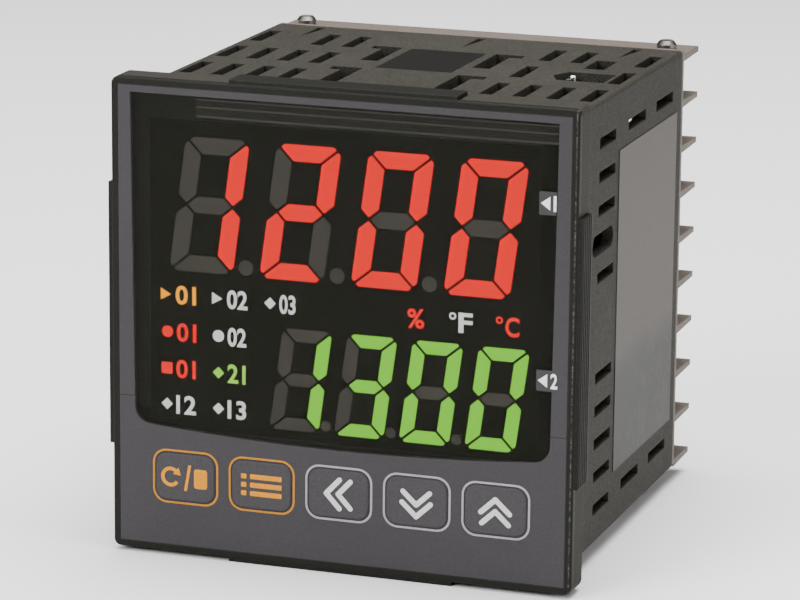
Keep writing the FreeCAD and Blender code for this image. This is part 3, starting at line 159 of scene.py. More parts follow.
# Signs on the keys: a turning arrow, a slash, a block and a list, all placed from the cap's middle
TURN_ASIDE = 2.3
TURN_RADII = (1.0, 1.55)
TURN_ANGLES = (math.radians(50), math.radians(325))
TURN_BARB = 0.4
TURN_TIP = 1.1
SLASH_FOOT = -0.15
SLASH_TOP = 0.55
SLASH_WIDE = 0.45
SLASH_HALF = 2.0
BLOCK_ASIDE = 2.5
BLOCK_WIDE = 2.1
BLOCK_HIGH = 3.0
BLOCK_CORNER = 0.4
LIST_PITCH = 1.3
LIST_HIGH = 0.75
LIST_CORNER = 0.15
LIST_DOT = (-2.75, 0.85)
LIST_LINE = (0.75, 5.0)

# Double arrows: each V's tip aside and above, its reach and half its spread; directions in degrees
ARROW_PAIR = ((2.25, 2.1, 2.45, 2.6), (0.4, 0.3, 2.3, 2.45))
ARROW_STROKE = 0.78
ARROW_DROP = 0.45
TIP_STEPS = 8
END_STEPS = 6
LEFT = 180
DOWN = -90
UP = 90

# Bright tabs of the heat sink, in millimetres
TAB_ROUND = 0.12
PORT_TAB_REACH = (-0.1, 0.7)
PORT_TAB_DEPTHS = (31.9, 32.5)
PORT_TAB_HEIGHTS = (31.0, 33.4)
PORT_TAB_LEAN = 0.5
SIDE_TAB_END = 33.2
SIDE_TAB_DEPTHS = (28.4, 30.7)
SIDE_TAB_HEIGHTS = (27.5, 28.2)

# Studio, in metres and watts
FLOOR_GAP = 0.02*MM
FLOOR_HALF = 6.0
AIM = Vector((0.0, 0.03, 0.0))
LIGHTS = (
    ("light_key", (-0.5, -0.8, 0.55), 0.6, 14.0),
    ("light_top", (0.05, 0.1, 0.8), 0.7, 20.0),
    ("light_right", (0.85, -0.15, 0.3), 0.5, 4.0),
)


# Shader helpers

def feed(tree, node, pairs):
    """Joins or sets a node's inputs from (socket, source) pairs."""
    for socket, source in pairs:
        if isinstance(source, bpy.types.NodeSocket):
            tree.links.new(source, node.inputs[socket])
        else:
            node.inputs[socket].default_value = source


def add(tree, kind, pairs=(), **settings):
    """Adds a node with its settings and feeds its inputs."""
    node = tree.nodes.new(kind)
    for name, value in settings.items():
        setattr(node, name, value)
    feed(tree, node, pairs)
    return node


def surface_place(tree):
    """The place on the piece, which every pattern follows."""
    return add(tree, "ShaderNodeTexCoord").outputs["Object"]


def maths(tree, operation, first, second=0.0, clamp=False):
    """A Math node's result."""
    node = add(tree, "ShaderNodeMath", ((0, first), (1, second)), operation=operation, use_clamp=clamp)
    return node.outputs[0]


def blended(tree, amount, first, second):
    """Two colours mixed by an amount."""
    pairs = ((0, amount), (6, first), (7, second))
    return add(tree, "ShaderNodeMix", pairs, data_type="RGBA").outputs[2]


def ranged(tree, value, low, high, to_low=0.0, to_high=1.0):
    """A value carried from one range to another."""
    pairs = ((0, value), (1, low), (2, high), (3, to_low), (4, to_high))
    return add(tree, "ShaderNodeMapRange", pairs).outputs[0]


def noise(tree, place, scale, detail=2.0, rough=0.5, twist=0.0):
    """Soft noise over the surface."""
    pairs = (("Vector", place), ("Scale", scale), ("Detail", detail), ("Roughness", rough),
             ("Distortion", twist))
    return add(tree, "ShaderNodeTexNoise", pairs).outputs[0]


def bumped(tree, height, strength, depth, normal=None):
    """A normal that follows a height, on top of another normal where one is given."""
    pairs = [("Strength", strength), ("Distance", depth), ("Height", height)]
    if normal is not None:
        pairs.append(("Normal", normal))
    return add(tree, "ShaderNodeBump", pairs).outputs[0]


def new_group(name, inputs, outputs):
    """A shader node group with named sockets; inputs hold (name, kind, value)."""
    group = bpy.data.node_groups.new(name, "ShaderNodeTree")
    kinds = {"value": "NodeSocketFloat", "colour": "NodeSocketColor", "vector": "NodeSocketVector"}
    for label, kind, value in inputs:
        socket = group.interface.new_socket(label, in_out="INPUT", socket_type=kinds[kind])
        if value is not None:
            socket.default_value = value
    for label, kind in outputs:
        group.interface.new_socket(label, in_out="OUTPUT", socket_type=kinds[kind])
    start = group.nodes.new("NodeGroupInput")
    end = group.nodes.new("NodeGroupOutput")
    return group, start, end


def use_group(tree, group, **values):
    """Places a group in a material; a word's underscores stand for spaces."""
    node = add(tree, "ShaderNodeGroup", node_tree=group)
    feed(tree, node, [(name.replace("_", " "), value) for name, value in values.items()])
    return node


# Shared effects

def moulded_grain():
    """Fine spark-eroded grain with slow changes of tone, as on moulded plastic."""
    group, start, end = new_group(
        "moulded_grain",
        [("Colour", "colour", None), ("Grain Scale", "value", 2500.0), ("Grain Depth", "value", 0.2),
         ("Roughness", "value", 0.5), ("Tone Change", "value", 0.08), ("Fleck", "value", 0.3),
         ("Normal", "vector", None)],
        [("Colour", "colour"), ("Roughness", "value"), ("Normal", "vector")])
    wanted = start.outputs
    place = surface_place(group)
    grain = noise(group, place, scale=wanted["Grain Scale"], detail=3.0, rough=0.6)
    drift = noise(group, place, scale=45.0, detail=4.0)
    speck = noise(group, place, scale=5200.0, detail=1.0)
    tone = maths(group, "SUBTRACT", drift, 0.5)
    slow = maths(group, "MULTIPLY", tone, wanted["Tone Change"])
    fine = maths(group, "MULTIPLY", maths(group, "SUBTRACT", speck, 0.5), wanted["Fleck"])
    change = maths(group, "MULTIPLY", maths(group, "ADD", slow, fine), 2.0)
    level = maths(group, "ADD", change, 1.0)
    colour = add(group, "ShaderNodeVectorMath", ((0, wanted["Colour"]), (1, level)), operation="MULTIPLY")
    uneven = maths(group, "MULTIPLY", tone, TONE_ROUGHENS)
    rough = maths(group, "ADD", wanted["Roughness"], uneven, clamp=True)
    normal = bumped(group, grain, strength=wanted["Grain Depth"], depth=0.06*MM, normal=wanted["Normal"])
    feed(group, end, (("Colour", colour.outputs[0]), ("Roughness", rough), ("Normal", normal)))
    return group


def soft_edges():
    """Small radii on sharp edges, and a mask of where the edges are."""
    group, start, end = new_group("soft_edges", [("Radius", "value", 0.0002)],
                                  [("Normal", "vector"), ("Edge", "value")])
    bevel = add(group, "ShaderNodeBevel", (("Radius", start.outputs["Radius"]),), samples=6)
    flat = add(group, "ShaderNodeNewGeometry").outputs["True Normal"]
    match = add(group, "ShaderNodeVectorMath", ((0, bevel.outputs[0]), (1, flat)), operation="DOT_PRODUCT")
    edge = ranged(group, match.outputs["Value"], low=0.995, high=0.75)
    feed(group, end, (("Normal", bevel.outputs[0]), ("Edge", edge)))
    return group


def handling_marks():
    """Faint rubs and dust: a mask that is patchy and streaked."""
    group, start, end = new_group("handling_marks", [("Scale", "value", 60.0), ("Amount", "value", 0.5)],
                                  [("Mask", "value")])
    place = surface_place(group)
    patches = noise(group, place, scale=start.outputs["Scale"], detail=8.0, rough=0.7)
    streaks = noise(group, place, scale=700.0, twist=0.4)
    mask = ranged(group, maths(group, "MULTIPLY", patches, streaks), low=0.24, high=0.42)
    feed(group, end, (("Mask", maths(group, "MULTIPLY", mask, start.outputs["Amount"])),))
    return group


GRAIN = moulded_grain()
EDGES = soft_edges()
MARKS = handling_marks()


# Finishes of the real pieces

def new_material(name):
    """A material with an empty Principled shader."""
    material = bpy.data.materials.new(name)
    material.use_nodes = True
    tree = material.node_tree
    tree.nodes.clear()
    shader = tree.nodes.new("ShaderNodeBsdfPrincipled")
    output = tree.nodes.new("ShaderNodeOutputMaterial")
    tree.links.new(shader.outputs[0], output.inputs[0])
    return material, tree, shader


def rgb(red, green, blue):
    """A screen colour, 0 to 255, as the shader's linear colour."""
    def linear(value):
        share = value/255
        return share/12.92 if share <= 0.04045 else ((share + 0.055)/1.055)**2.4
    return (linear(red), linear(green), linear(blue), 1.0)


def lighter(colour, factor, lift=0.0):
    """A linear colour made lighter, or darker where the factor is under one."""
    return tuple(min(1.0, channel*factor + lift) for channel in colour[:3]) + (1.0,)


def plastic(name, colour, grain=2600.0, depth=0.25, rough=0.5, tone=0.08, fleck=0.3, edge_highlight=0.12, marks=0.15,
            specular=0.06):
    """Moulded plastic: grain, soft edges lightened by a painted highlight, and faint handling marks."""
    material, tree, shader = new_material(name)
    edges = use_group(tree, EDGES, Radius=0.22*MM)
    marked = use_group(tree, MARKS, Scale=70.0, Amount=marks)
    rubbed = blended(tree, marked.outputs["Mask"], colour, lighter(colour, factor=1.4, lift=0.006))
    # Painted highlight: the colour is lightened along the edges by the edge mask.
    bright = maths(tree, "MULTIPLY", edges.outputs["Edge"], edge_highlight)
    base = blended(tree, bright, rubbed, lighter(colour, factor=2.0, lift=0.02))
    surface = use_group(tree, GRAIN, Colour=base, Grain_Scale=grain, Grain_Depth=depth, Roughness=rough,
                        Tone_Change=tone, Fleck=fleck, Normal=edges.outputs["Normal"])
    feed(tree, shader, (
        ("Base Color", surface.outputs["Colour"]),
        ("Roughness", surface.outputs["Roughness"]),
        ("Normal", surface.outputs["Normal"]),
        ("Specular IOR Level", specular),
    ))
    return material


def frame_plastic():
    """The black frame: fine grain, coarse rough grips, and a speckled painted highlight along its right front
    edge, where its chamfer catches the light.
    """
    material, tree, shader = new_material("frame_black")
    edges = use_group(tree, EDGES, Radius=0.2*MM)
    surface = use_group(tree, GRAIN, Colour=rgb(27, 27, 24), Grain_Scale=2600.0, Grain_Depth=0.3,
                        Roughness=0.5, Tone_Change=0.15, Fleck=0.8, Normal=edges.outputs["Normal"])
    place = surface_place(tree)
    across, deep, up = add(tree, "ShaderNodeSeparateXYZ", ((0, place),)).outputs
    reach = maths(tree, "MAXIMUM", maths(tree, "ABSOLUTE", across), maths(tree, "ABSOLUTE", up))
    on_grip = maths(tree, "GREATER_THAN", reach, GRIP_START*MM)
    coarse = add(tree, "ShaderNodeTexVoronoi", (("Vector", place), ("Scale", 3600.0)))
    facets = bumped(tree, coarse.outputs[0], strength=0.2, depth=0.1*MM, normal=surface.outputs["Normal"])
    normals = ((0, on_grip), (4, surface.outputs["Normal"]), (5, facets))
    normal = add(tree, "ShaderNodeMix", normals, data_type="VECTOR").outputs[1]
    facet_tone = ranged(tree, coarse.outputs["Color"], low=0.5, high=1.0, to_high=0.3)
    grit = maths(tree, "MULTIPLY", on_grip, facet_tone)
    gritty = blended(tree, grit, surface.outputs["Colour"], rgb(46, 44, 40))
    # Painted highlight: light specks along the right front edge, where the chamfer catches the light.
    specks = noise(tree, place, scale=1500.0, detail=4.0, rough=0.8)
    highlight_specks = ranged(tree, specks, low=0.46, high=0.62, to_high=0.32)
    apart = maths(tree, "ABSOLUTE", maths(tree, "SUBTRACT", across, EDGE_LINE*MM))
    beside = ranged(tree, apart, low=0.0, high=HIGHLIGHT_REACH*MM, to_low=1.0, to_high=0.0)
    in_front = maths(tree, "LESS_THAN", deep, EDGE_DEEP*MM)
    chamfer_highlight = maths(tree, "MULTIPLY", maths(tree, "MULTIPLY", beside, in_front), highlight_specks)
    # Painted highlight: the colour is lightened along every edge; both highlights blend towards a light grey.
    bright = maths(tree, "MULTIPLY", edges.outputs["Edge"], 0.08)
    edge_highlight = maths(tree, "MAXIMUM", chamfer_highlight, bright)
    feed(tree, shader, (
        ("Base Color", blended(tree, edge_highlight, gritty, rgb(160, 157, 150))),
        ("Roughness", surface.outputs["Roughness"]),
        ("Normal", normal),
        ("Specular IOR Level", 0.08),
    ))
    return material


def label_film():
    """A blank satin film, cloudy, and darker towards its foot with painted shade."""
    material, tree, shader = new_material("label_grey")
    marked = use_group(tree, MARKS, Scale=40.0, Amount=0.25)
    place = surface_place(tree)
    cloud = maths(tree, "MULTIPLY", noise(tree, place, scale=55.0, detail=5.0), LABEL_CLOUD*MM)
    height = add(tree, "ShaderNodeSeparateXYZ", ((0, place),)).outputs[2]
    low, high = (end*MM for end in LABEL_FOOT)
    # Painted shade: the tone darkens towards the label's foot.
    deeper = ranged(tree, maths(tree, "ADD", height, cloud), low, high, to_low=1.0, to_high=0.0)
    tone = blended(tree, deeper, rgb(63, 57, 53), rgb(40, 39, 36))
    base = blended(tree, marked.outputs["Mask"], tone, rgb(82, 76, 72))
    surface = use_group(tree, GRAIN, Colour=base, Grain_Scale=1500.0, Grain_Depth=0.05, Roughness=0.45,
                        Tone_Change=0.3, Fleck=0.35)
    feed(tree, shader, (
        ("Base Color", surface.outputs["Colour"]),
        ("Roughness", surface.outputs["Roughness"]),
        ("Normal", surface.outputs["Normal"]),
        ("Specular IOR Level", 0.1),
    ))
    return material


def smoked_window():
    """Smoked sheet: dark, clear enough for the lit bars, with hairline scuffs."""
    material, tree, shader = new_material("window_smoke")
    marked = use_group(tree, MARKS, Scale=90.0, Amount=0.25)
    feed(tree, shader, (
        ("Base Color", blended(tree, marked.outputs["Mask"], rgb(42, 42, 36), rgb(47, 47, 41))),
        ("Roughness", ranged(tree, marked.outputs["Mask"], 0.0, 0.25, to_low=0.5, to_high=0.54)),
        ("Alpha", 0.25),
        ("Specular IOR Level", 0.03),
    ))
    material.blend_method = "BLEND"
    return material


def lit_bar(name, colour, deep, strength):
    """A glowing diffuser: even light with slightly deeper edges."""
    material, tree, shader = new_material(name)
    edges = use_group(tree, EDGES, Radius=0.25*MM)
    cloud = noise(tree, surface_place(tree), scale=260.0)
    edge_share, cloud_share, body_share = 0.4, 0.25, 0.75
    at_edge = maths(tree, "MULTIPLY", edges.outputs["Edge"], edge_share)
    clouded = maths(tree, "MULTIPLY", cloud, cloud_share)
    glow = blended(tree, maths(tree, "ADD", at_edge, clouded, clamp=True), colour, deep)
    feed(tree, shader, (
        ("Base Color", blended(tree, body_share, glow, (0.02, 0.02, 0.02, 1.0))),
        ("Emission Color", glow),
        ("Emission Strength", strength),
        ("Roughness", 0.5),
        ("Specular IOR Level", 0.0),
    ))
    return material


def ink(name, colour, glow=0.0, specular=0.2):
    """Screen-printed ink: slightly uneven; where glow is over zero it glows, as lamp light from behind on the
    display signs and as painted light on the front tags.
    """
    material, tree, shader = new_material(name)
    surface = use_group(tree, GRAIN, Colour=colour, Roughness=0.45, Tone_Change=0.05)
    feed(tree, shader, (
        ("Base Color", surface.outputs["Colour"]),
        ("Roughness", surface.outputs["Roughness"]),
        ("Specular IOR Level", specular),
    ))
    if glow:
        feed(tree, shader, (("Emission Color", surface.outputs["Colour"]), ("Emission Strength", glow)))
    return material


def metal(name, colour, rough, lines=900.0, direction="X"):
    """Plated or rolled metal with fine drawn lines and soft edges."""
    material, tree, shader = new_material(name)
    edges = use_group(tree, EDGES, Radius=0.12*MM)
    place = surface_place(tree)
    pairs = (("Vector", place), ("Scale", lines), ("Distortion", 6.0), ("Detail", 3.0))
    wave = add(tree, "ShaderNodeTexWave", pairs, bands_direction=direction).outputs[1]
    spots = noise(tree, place, scale=420.0, detail=5.0)
    dull = ranged(tree, spots, low=0.4, high=0.7, to_high=0.5)
    feed(tree, shader, (
        ("Base Color", blended(tree, dull, colour, lighter(colour, factor=0.6))),
        ("Roughness", ranged(tree, spots, 0.3, 0.7, to_low=rough - 0.08, to_high=rough + 0.1)),
        ("Normal", bumped(tree, wave, strength=0.12, depth=0.05*MM, normal=edges.outputs["Normal"])),
        ("Metallic", 1.0),
    ))
    return material


def layered(name, light, dark, scale, direction, metallic, rough):
    """Stacked sheets or wound wire: even bands with a groove between them."""
    material, tree, shader = new_material(name)
    pairs = (("Vector", surface_place(tree)), ("Scale", scale), ("Distortion", 0.2))
    wave = add(tree, "ShaderNodeTexWave", pairs, bands_direction=direction).outputs[1]
    feed(tree, shader, (
        ("Base Color", blended(tree, wave, dark, light)),
        ("Normal", bumped(tree, wave, strength=0.7, depth=0.2*MM)),
        ("Metallic", metallic),
        ("Roughness", rough),
    ))
    return material


def circuit_board():
    """Green solder mask over tracks, with pads."""
    material, tree, shader = new_material("board_green")
    place = surface_place(tree)
    turned = add(tree, "ShaderNodeMapping", ((0, place), ("Rotation", (0.0, QUARTER, 0.0)))).outputs[0]
    pairs = (("Vector", turned), ("Scale", 260.0), ("Mortar Size", 0.06))
    tracks = add(tree, "ShaderNodeTexBrick", pairs).outputs["Fac"]
    pads = add(tree, "ShaderNodeTexVoronoi", (("Vector", place), ("Scale", 330.0)))
    pad = maths(tree, "LESS_THAN", pads.outputs[0], 0.16)
    mask = blended(tree, tracks, rgb(12, 34, 22), rgb(20, 50, 33))
    feed(tree, shader, (
        ("Base Color", blended(tree, pad, mask, rgb(176, 172, 160))),
        ("Normal", bumped(tree, tracks, strength=0.3, depth=0.1*MM)),
        ("Roughness", 0.35),
    ))
    return material


MATERIALS = {
    "case_grey": plastic("case_grey", rgb(48, 46, 42), grain=2200.0, depth=0.4, rough=0.65, tone=0.2,
                         fleck=1.3, edge_highlight=0.16, marks=0.25),
    "frame_black": frame_plastic(),
    "face_grey": plastic("face_grey", rgb(60, 58, 60), grain=3600.0, depth=0.1, tone=0.06, edge_highlight=0.05,
                         marks=0.06),
    "window_smoke": smoked_window(),
    "key_grey": plastic("key_grey", rgb(63, 61, 63), grain=3400.0, depth=0.12, tone=0.06, edge_highlight=0.25,
                        marks=0.08),
    "plunger_black": plastic("plunger_black", rgb(26, 26, 26)),
    "switch_black": plastic("switch_black", rgb(32, 32, 32)),
    "block_black": plastic("block_black", rgb(6, 6, 5), depth=0.02, rough=0.8, tone=0.05, fleck=0.0,
                           edge_highlight=0.0, marks=0.0, specular=0.02),
    "bar_red": lit_bar("bar_red", (1.0, 0.0, 0.0, 1.0), (0.86, 0.0, 0.0, 1.0), strength=1.85),
    "bar_green": lit_bar("bar_green", (0.2, 0.72, 0.02, 1.0), (0.14, 0.56, 0.015, 1.0), strength=1.7),
    "bar_dark": plastic("bar_dark", rgb(77, 74, 69), depth=0.05, rough=0.6, tone=0.1, fleck=0.1,
                        edge_highlight=0.0, marks=0.0, specular=0.05),
    "lamp_bar": plastic("lamp_bar", rgb(120, 112, 100), depth=0.1),
    "board_green": circuit_board(),
    "chip_black": plastic("chip_black", rgb(24, 24, 24), rough=0.6),
    "header_black": plastic("header_black", rgb(28, 28, 28), rough=0.55),
    "core_steel": layered("core_steel", rgb(110, 108, 106), rgb(48, 46, 46), scale=900.0, direction="X",
                          metallic=0.8, rough=0.5),
    "coil_copper": layered("coil_copper", rgb(180, 98, 50), rgb(90, 46, 24), scale=1500.0, direction="Z",
                           metallic=0.7, rough=0.35),
    "capacitor_sleeve": plastic("capacitor_sleeve", rgb(26, 30, 52), depth=0.08, rough=0.3),
    "relay_case": plastic("relay_case", rgb(34, 52, 100), depth=0.08, rough=0.35),
    "sink_aluminium": metal("sink_aluminium", rgb(232, 232, 234), rough=0.24, direction="Y"),
    "block_grey": plastic("block_grey", rgb(96, 88, 82), grain=2200.0, depth=0.3, fleck=0.8),
    "tab_brass": metal("tab_brass", rgb(196, 178, 130), rough=0.34),
    "clamp_steel": metal("clamp_steel", rgb(160, 158, 152), rough=0.38),
    "screw_steel": metal("screw_steel", rgb(126, 124, 118), rough=0.36),
    "plate_dark": plastic("plate_dark", rgb(24, 23, 22), grain=4200.0, depth=0.1, rough=0.6, tone=0.1,
                          fleck=0.4),
    "label_grey": label_film(),
}
INKS = {
    "white": ink("ink_white", rgb(220, 220, 218), glow=1.1),
    "orange": ink("ink_orange", (0.95, 0.36, 0.004, 1.0), glow=1.4),
    "red": ink("ink_red", (0.85, 0.0, 0.0, 1.0), glow=1.3),
    "green": ink("ink_green", (0.29, 0.68, 0.05, 1.0), glow=1.3),
    "key_orange": ink("ink_key_orange", (0.6, 0.225, 0.0, 1.0)),
    "key_light": ink("ink_key_light", rgb(196, 196, 197)),
    "line_orange": ink("ink_line_orange", (0.4, 0.165, 0.006, 1.0)),
    "line_light": ink("ink_line_light", rgb(146, 145, 148)),
    "stripe": ink("ink_stripe", rgb(62, 61, 58), specular=0.04),
    "tag": ink("ink_tag", rgb(52, 51, 52)),
    # The white on the row tags is printed on the front with no lamp behind it; its glow is painted light.
    "tag_white_painted_glow": ink("ink_tag_white", rgb(222, 222, 222), glow=0.15),
    "film": ink("ink_film", rgb(6, 6, 5), specular=0.02),
    "band": ink("ink_band", rgb(34, 33, 30), specular=0.04),
}
TIN = metal("tin_bright", (0.95, 0.95, 0.96, 1.0), rough=0.36, lines=500.0)


def dress_solids():
    """Gives every CAD node the finish of its slot."""
    for entry in frame["record"]["subparts"]:
        piece = nodes[entry["node"]]
        chosen = MATERIALS[entry["material_slot"]]
        if not piece.material_slots:
            piece.data.materials.append(chosen)
        for slot in piece.material_slots:
            slot.material = chosen


# Outlines, as lists of (x, z) points in millimetres

def arc_points(x, z, radius, start, end, steps):
    """Points along an arc about a centre, from one angle to another."""
    angles = [start + (end - start)*step/steps for step in range(steps + 1)]
    return [(x + radius*math.cos(angle), z + radius*math.sin(angle)) for angle in angles]


def circle_outline(x, z, radius, steps=24):
    """A circle about a centre."""
    return arc_points(x, z, radius, 0.0, 2*math.pi, steps)[:-1]


def rounded_outline(x, z, wide, high, corner, steps=8):
    """A rectangle with round corners about a centre."""
    outline = []
    for turn, (across, up) in enumerate(((1, 1), (-1, 1), (-1, -1), (1, -1))):
        centre_x = x + across*(wide/2 - corner)
        centre_z = z + up*(high/2 - corner)
        outline += arc_points(centre_x, centre_z, corner, QUARTER*turn, QUARTER*(turn + 1), steps)
    return outline


def small_block(x, z, wide, high, corner):
    """A small rectangle whose round corners take few points."""
    return rounded_outline(x, z, wide, high, corner, steps=3)


def arc_band(x, z, inner, outer, start, end, steps=14):
    """A curved band between two radii, from one angle to another."""
    outside = arc_points(x, z, outer, start, end, steps)
    inside = arc_points(x, z, inner, start, end, steps)
    return outside + inside[::-1]


# Flat printed pieces

def finish_piece(name, mesh, material, body):
    """Makes an object from mesh code and lets it ride on a body."""
    data = bpy.data.meshes.new(name)
    bmesh.ops.recalc_face_normals(mesh, faces=mesh.faces[:])
    mesh.to_mesh(data)
    mesh.free()
    data.materials.append(material)
    piece = bpy.data.objects.new(name, data)
    bpy.context.scene.collection.objects.link(piece)
    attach(piece, body)


def point(x, y, z):
    """A point given in millimetres."""
    return Vector((x, y, z))*MM


def thicken(mesh, thick):
    """Gives flat faces their thickness towards the front."""
    grown = bmesh.ops.extrude_face_region(mesh, geom=mesh.faces[:])
    moved = [item for item in grown["geom"] if isinstance(item, bmesh.types.BMVert)]
    bmesh.ops.translate(mesh, verts=moved, vec=(0.0, -thick*MM, 0.0))


def print_shapes(name, outlines, back, material, thick=PRINT, body=BODY):
    """A thin print made of outlines; its back lies on the depth given."""
    mesh = bmesh.new()
    for outline in outlines:
        mesh.faces.new([mesh.verts.new(point(x, back, z)) for x, z in outline])
    thicken(mesh, thick)
    finish_piece(name, mesh, material, body)


def print_ring(name, outer, inner, back, material, thick=PRINT):
    """A thin closed line between two outlines with the same number of points."""
    mesh = bmesh.new()
    outside = [mesh.verts.new(point(x, back, z)) for x, z in outer]
    inside = [mesh.verts.new(point(x, back, z)) for x, z in inner]
    count = len(outside)
    for number in range(count):
        following = (number + 1) % count
        mesh.faces.new([outside[number], outside[following], inside[following], inside[number]])
    thicken(mesh, thick)
    finish_piece(name, mesh, material, BODY)


def flat_figures(text):
    """Plain figures from the built-in font, as a flat mesh."""
    curve = bpy.data.curves.new("figures", "FONT")
    curve.body = text
    curve.offset = FIGURE_WEIGHT
    curve.resolution_u = 4
    writer = bpy.data.objects.new("figures", curve)
    bpy.context.scene.collection.objects.link(writer)
    bpy.context.view_layer.update()
    flat = bpy.data.meshes.new_from_object(writer.evaluated_get(bpy.context.evaluated_depsgraph_get()))
    bpy.data.objects.remove(writer)
    mesh = bmesh.new()
    mesh.from_mesh(flat)
    bpy.data.meshes.remove(flat)
    return mesh


def print_figures(name, text, left, low, wide, high, back, material):
    """A thin print of plain figures, fitted to a box."""
    mesh = flat_figures(text)
    low_x = min(corner.co.x for corner in mesh.verts)
    high_x = max(corner.co.x for corner in mesh.verts)
    low_y = min(corner.co.y for corner in mesh.verts)
    high_y = max(corner.co.y for corner in mesh.verts)
    for corner in mesh.verts:
        x = left + wide*(corner.co.x - low_x)/(high_x - low_x)
        z = low + high*(corner.co.y - low_y)/(high_y - low_y)
        corner.co = point(x, back, z)
    thicken(mesh, PRINT)
    finish_piece(name, mesh, material, BODY)


# Display: film over the lamps, lamp signs and unit signs

def lamp_film():
    """A black film over the lamp bars, in three patches."""
    def patch(left, right, low, high):
        return small_block((left + right)/2, (low + high)/2, right - left, high - low, FILM_CORNER)

    low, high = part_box("lamp_bars")
    patches = [
        patch(*COLUMN_FILM, low.z/MM - FILM_MARGIN, high.z/MM + FILM_MARGIN),
        patch(*THIRD_FILM),
        patch(UNIT_FILM_LEFT, high.x/MM + FILM_MARGIN, *UNIT_FILM_HEIGHTS),
    ]
    print_shapes("lamp_film", patches, BLOCK_FACE, INKS["film"], thick=FILM)


def lamp_symbol(kind, left, low):
    """A small sign beside a lamp's number."""
    middle = low + SIGN_HIGH/2
    side = SIGN_HIGH*SYMBOL_SHARE
    half = side/2
    if kind == "play":
        return [(left, middle - half), (left + side*PLAY_SHARE, middle), (left, middle + half)]
    if kind == "diamond":
        return [(left, middle), (left + half, middle - half), (left + side, middle),
                (left + half, middle + half)]
    if kind == "round":
        return circle_outline(left + half, middle, half)
    return small_block(left + half, middle, side, side, SYMBOL_CORNER)


def status_signs():
    """Nine lit signs: a small symbol and a plain number each, in two columns and one beside."""
    for number, (colour, left, low, wide, kind, text) in enumerate(STATUS_SIGNS, start=1):
        symbol = lamp_symbol(kind, left, low)
        print_shapes("lamp_symbol_%d" % number, [symbol], SIGN_BACK, INKS[colour])
        start = left + SIGN_HIGH*SYMBOL_SHARE + SYMBOL_GAP
        print_figures("lamp_number_%d" % number, text, start, low, left + wide - start, SIGN_HIGH, SIGN_BACK,
                      INKS[colour])


def unit_signs():
    """A share sign and two degree signs, lit between the rows."""
    print_figures("unit_share", "%", SHARE_LEFT, UNIT_FOOT, SHARE_WIDE, UNIT_HIGH, SIGN_BACK, INKS["red"])
    for name, text, left, colour in DEGREE_SIGNS:
        ring = circle_outline(left + DEGREE_RADIUS, DEGREE_HEIGHT, DEGREE_RADIUS)
        hole = circle_outline(left + DEGREE_RADIUS, DEGREE_HEIGHT, DEGREE_HOLE)
        print_ring(name + "_mark", ring, hole, SIGN_BACK, INKS[colour])
        print_figures(name, text, left + LETTER_START, UNIT_FOOT, LETTER_WIDE, UNIT_HIGH, SIGN_BACK,
                      INKS[colour])


# Window: border, band, stripes and row tags

def window_outline(inset, corner_steps=8, foot_steps=12):
    """The window's outline drawn in by a distance: leaning sides, round low corners and a sagging foot."""
    low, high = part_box("display_window")
    top = high.z/MM - inset
    half = high.x/MM - inset
    low_half = half - WINDOW_LEAN
    foot = low.z/MM + WINDOW_SAG + inset
    corner = WINDOW_CORNER - inset
    flat = low_half - corner
    right = [(half, top)] + arc_points(flat, foot + corner, corner, 0.0, -QUARTER, corner_steps)
    left = [(-x, z) for x, z in reversed(right)]
    sag = []
    for step in range(1, foot_steps):
        x = flat*(1 - 2*step/foot_steps)
        sag.append((x, foot - WINDOW_SAG*(1 - (x/flat)**2)))
    return right + sag + left


def window_border():
    """The black print on the window's back, in two halves, which leaves the display clear."""
    low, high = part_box("display_block")
    half = high.x/MM - BORDER_LAP
    foot = low.z/MM + BORDER_LAP
    top = high.z/MM - BORDER_LAP
    outline = window_outline(BORDER_INSET)
    right = [(0.0, outline[0][1])] + [corner for corner in outline if corner[0] >= 0.0]
    right += [(0.0, foot), (half, foot), (half, top), (0.0, top)]
    left = [(-x, z) for x, z in right]
    print_shapes("window_border", [right, left], WINDOW_BACK + 2*PRINT, INKS["film"])


def window_stripes():
    """A band and three thin stripes along the window's top."""
    def strip(name, low, high, back, colour):
        left, right = STRIPE_ENDS
        outline = [(left, low), (right, low), (right, high), (left, high)]
        print_shapes(name, [outline], back, INKS[colour])

    strip("window_band", *BAND, WINDOW_BACK, "band")
    for number, (height, wide) in enumerate(STRIPES, start=1):
        strip("window_stripe_%d" % number, height - wide/2, height + wide/2, WINDOW_BACK - PRINT, "stripe")


def row_tags():
    """Two grey tags at the window's right edge, each with an arrow and its row's number."""
    front = FACE - PRINT
    for number, (low, high) in enumerate(ROW_TAGS, start=1):
        tag = [(TAG_LEFT, low), (TAG_FOOT_RIGHT, low), (TAG_TOP_RIGHT, high), (TAG_LEFT, high)]
        print_shapes("row_tag_%d" % number, [tag], FACE, INKS["tag"])
        middle = (low + high)/2
        foot, top = middle - TAG_ARROW_HALF, middle + TAG_ARROW_HALF
        arrow = [(TAG_ARROW_LEFT, middle), (TAG_ARROW_RIGHT, foot), (TAG_ARROW_RIGHT, top)]
        print_shapes("row_arrow_%d" % number, [arrow], front, INKS["tag_white_painted_glow"])
        wide = ROW_FIGURE_WIDE[number - 1]
        print_figures("row_number_%d" % number, str(number), ROW_FIGURE_LEFT, middle - ROW_FIGURE_HIGH/2,
                      wide, ROW_FIGURE_HIGH, front, INKS["tag_white_painted_glow"])


# Keys: outlines on the panel and signs on the caps

def round_cap(x, gap, gain):
    """An outline a gap outside a key's cap, with the cap's corner radius and its gain."""
    return rounded_outline(x, KEY_HEIGHT, CAP_WIDE + 2*gap, CAP_HIGH + 2*gap, CAP_CORNER + gain)


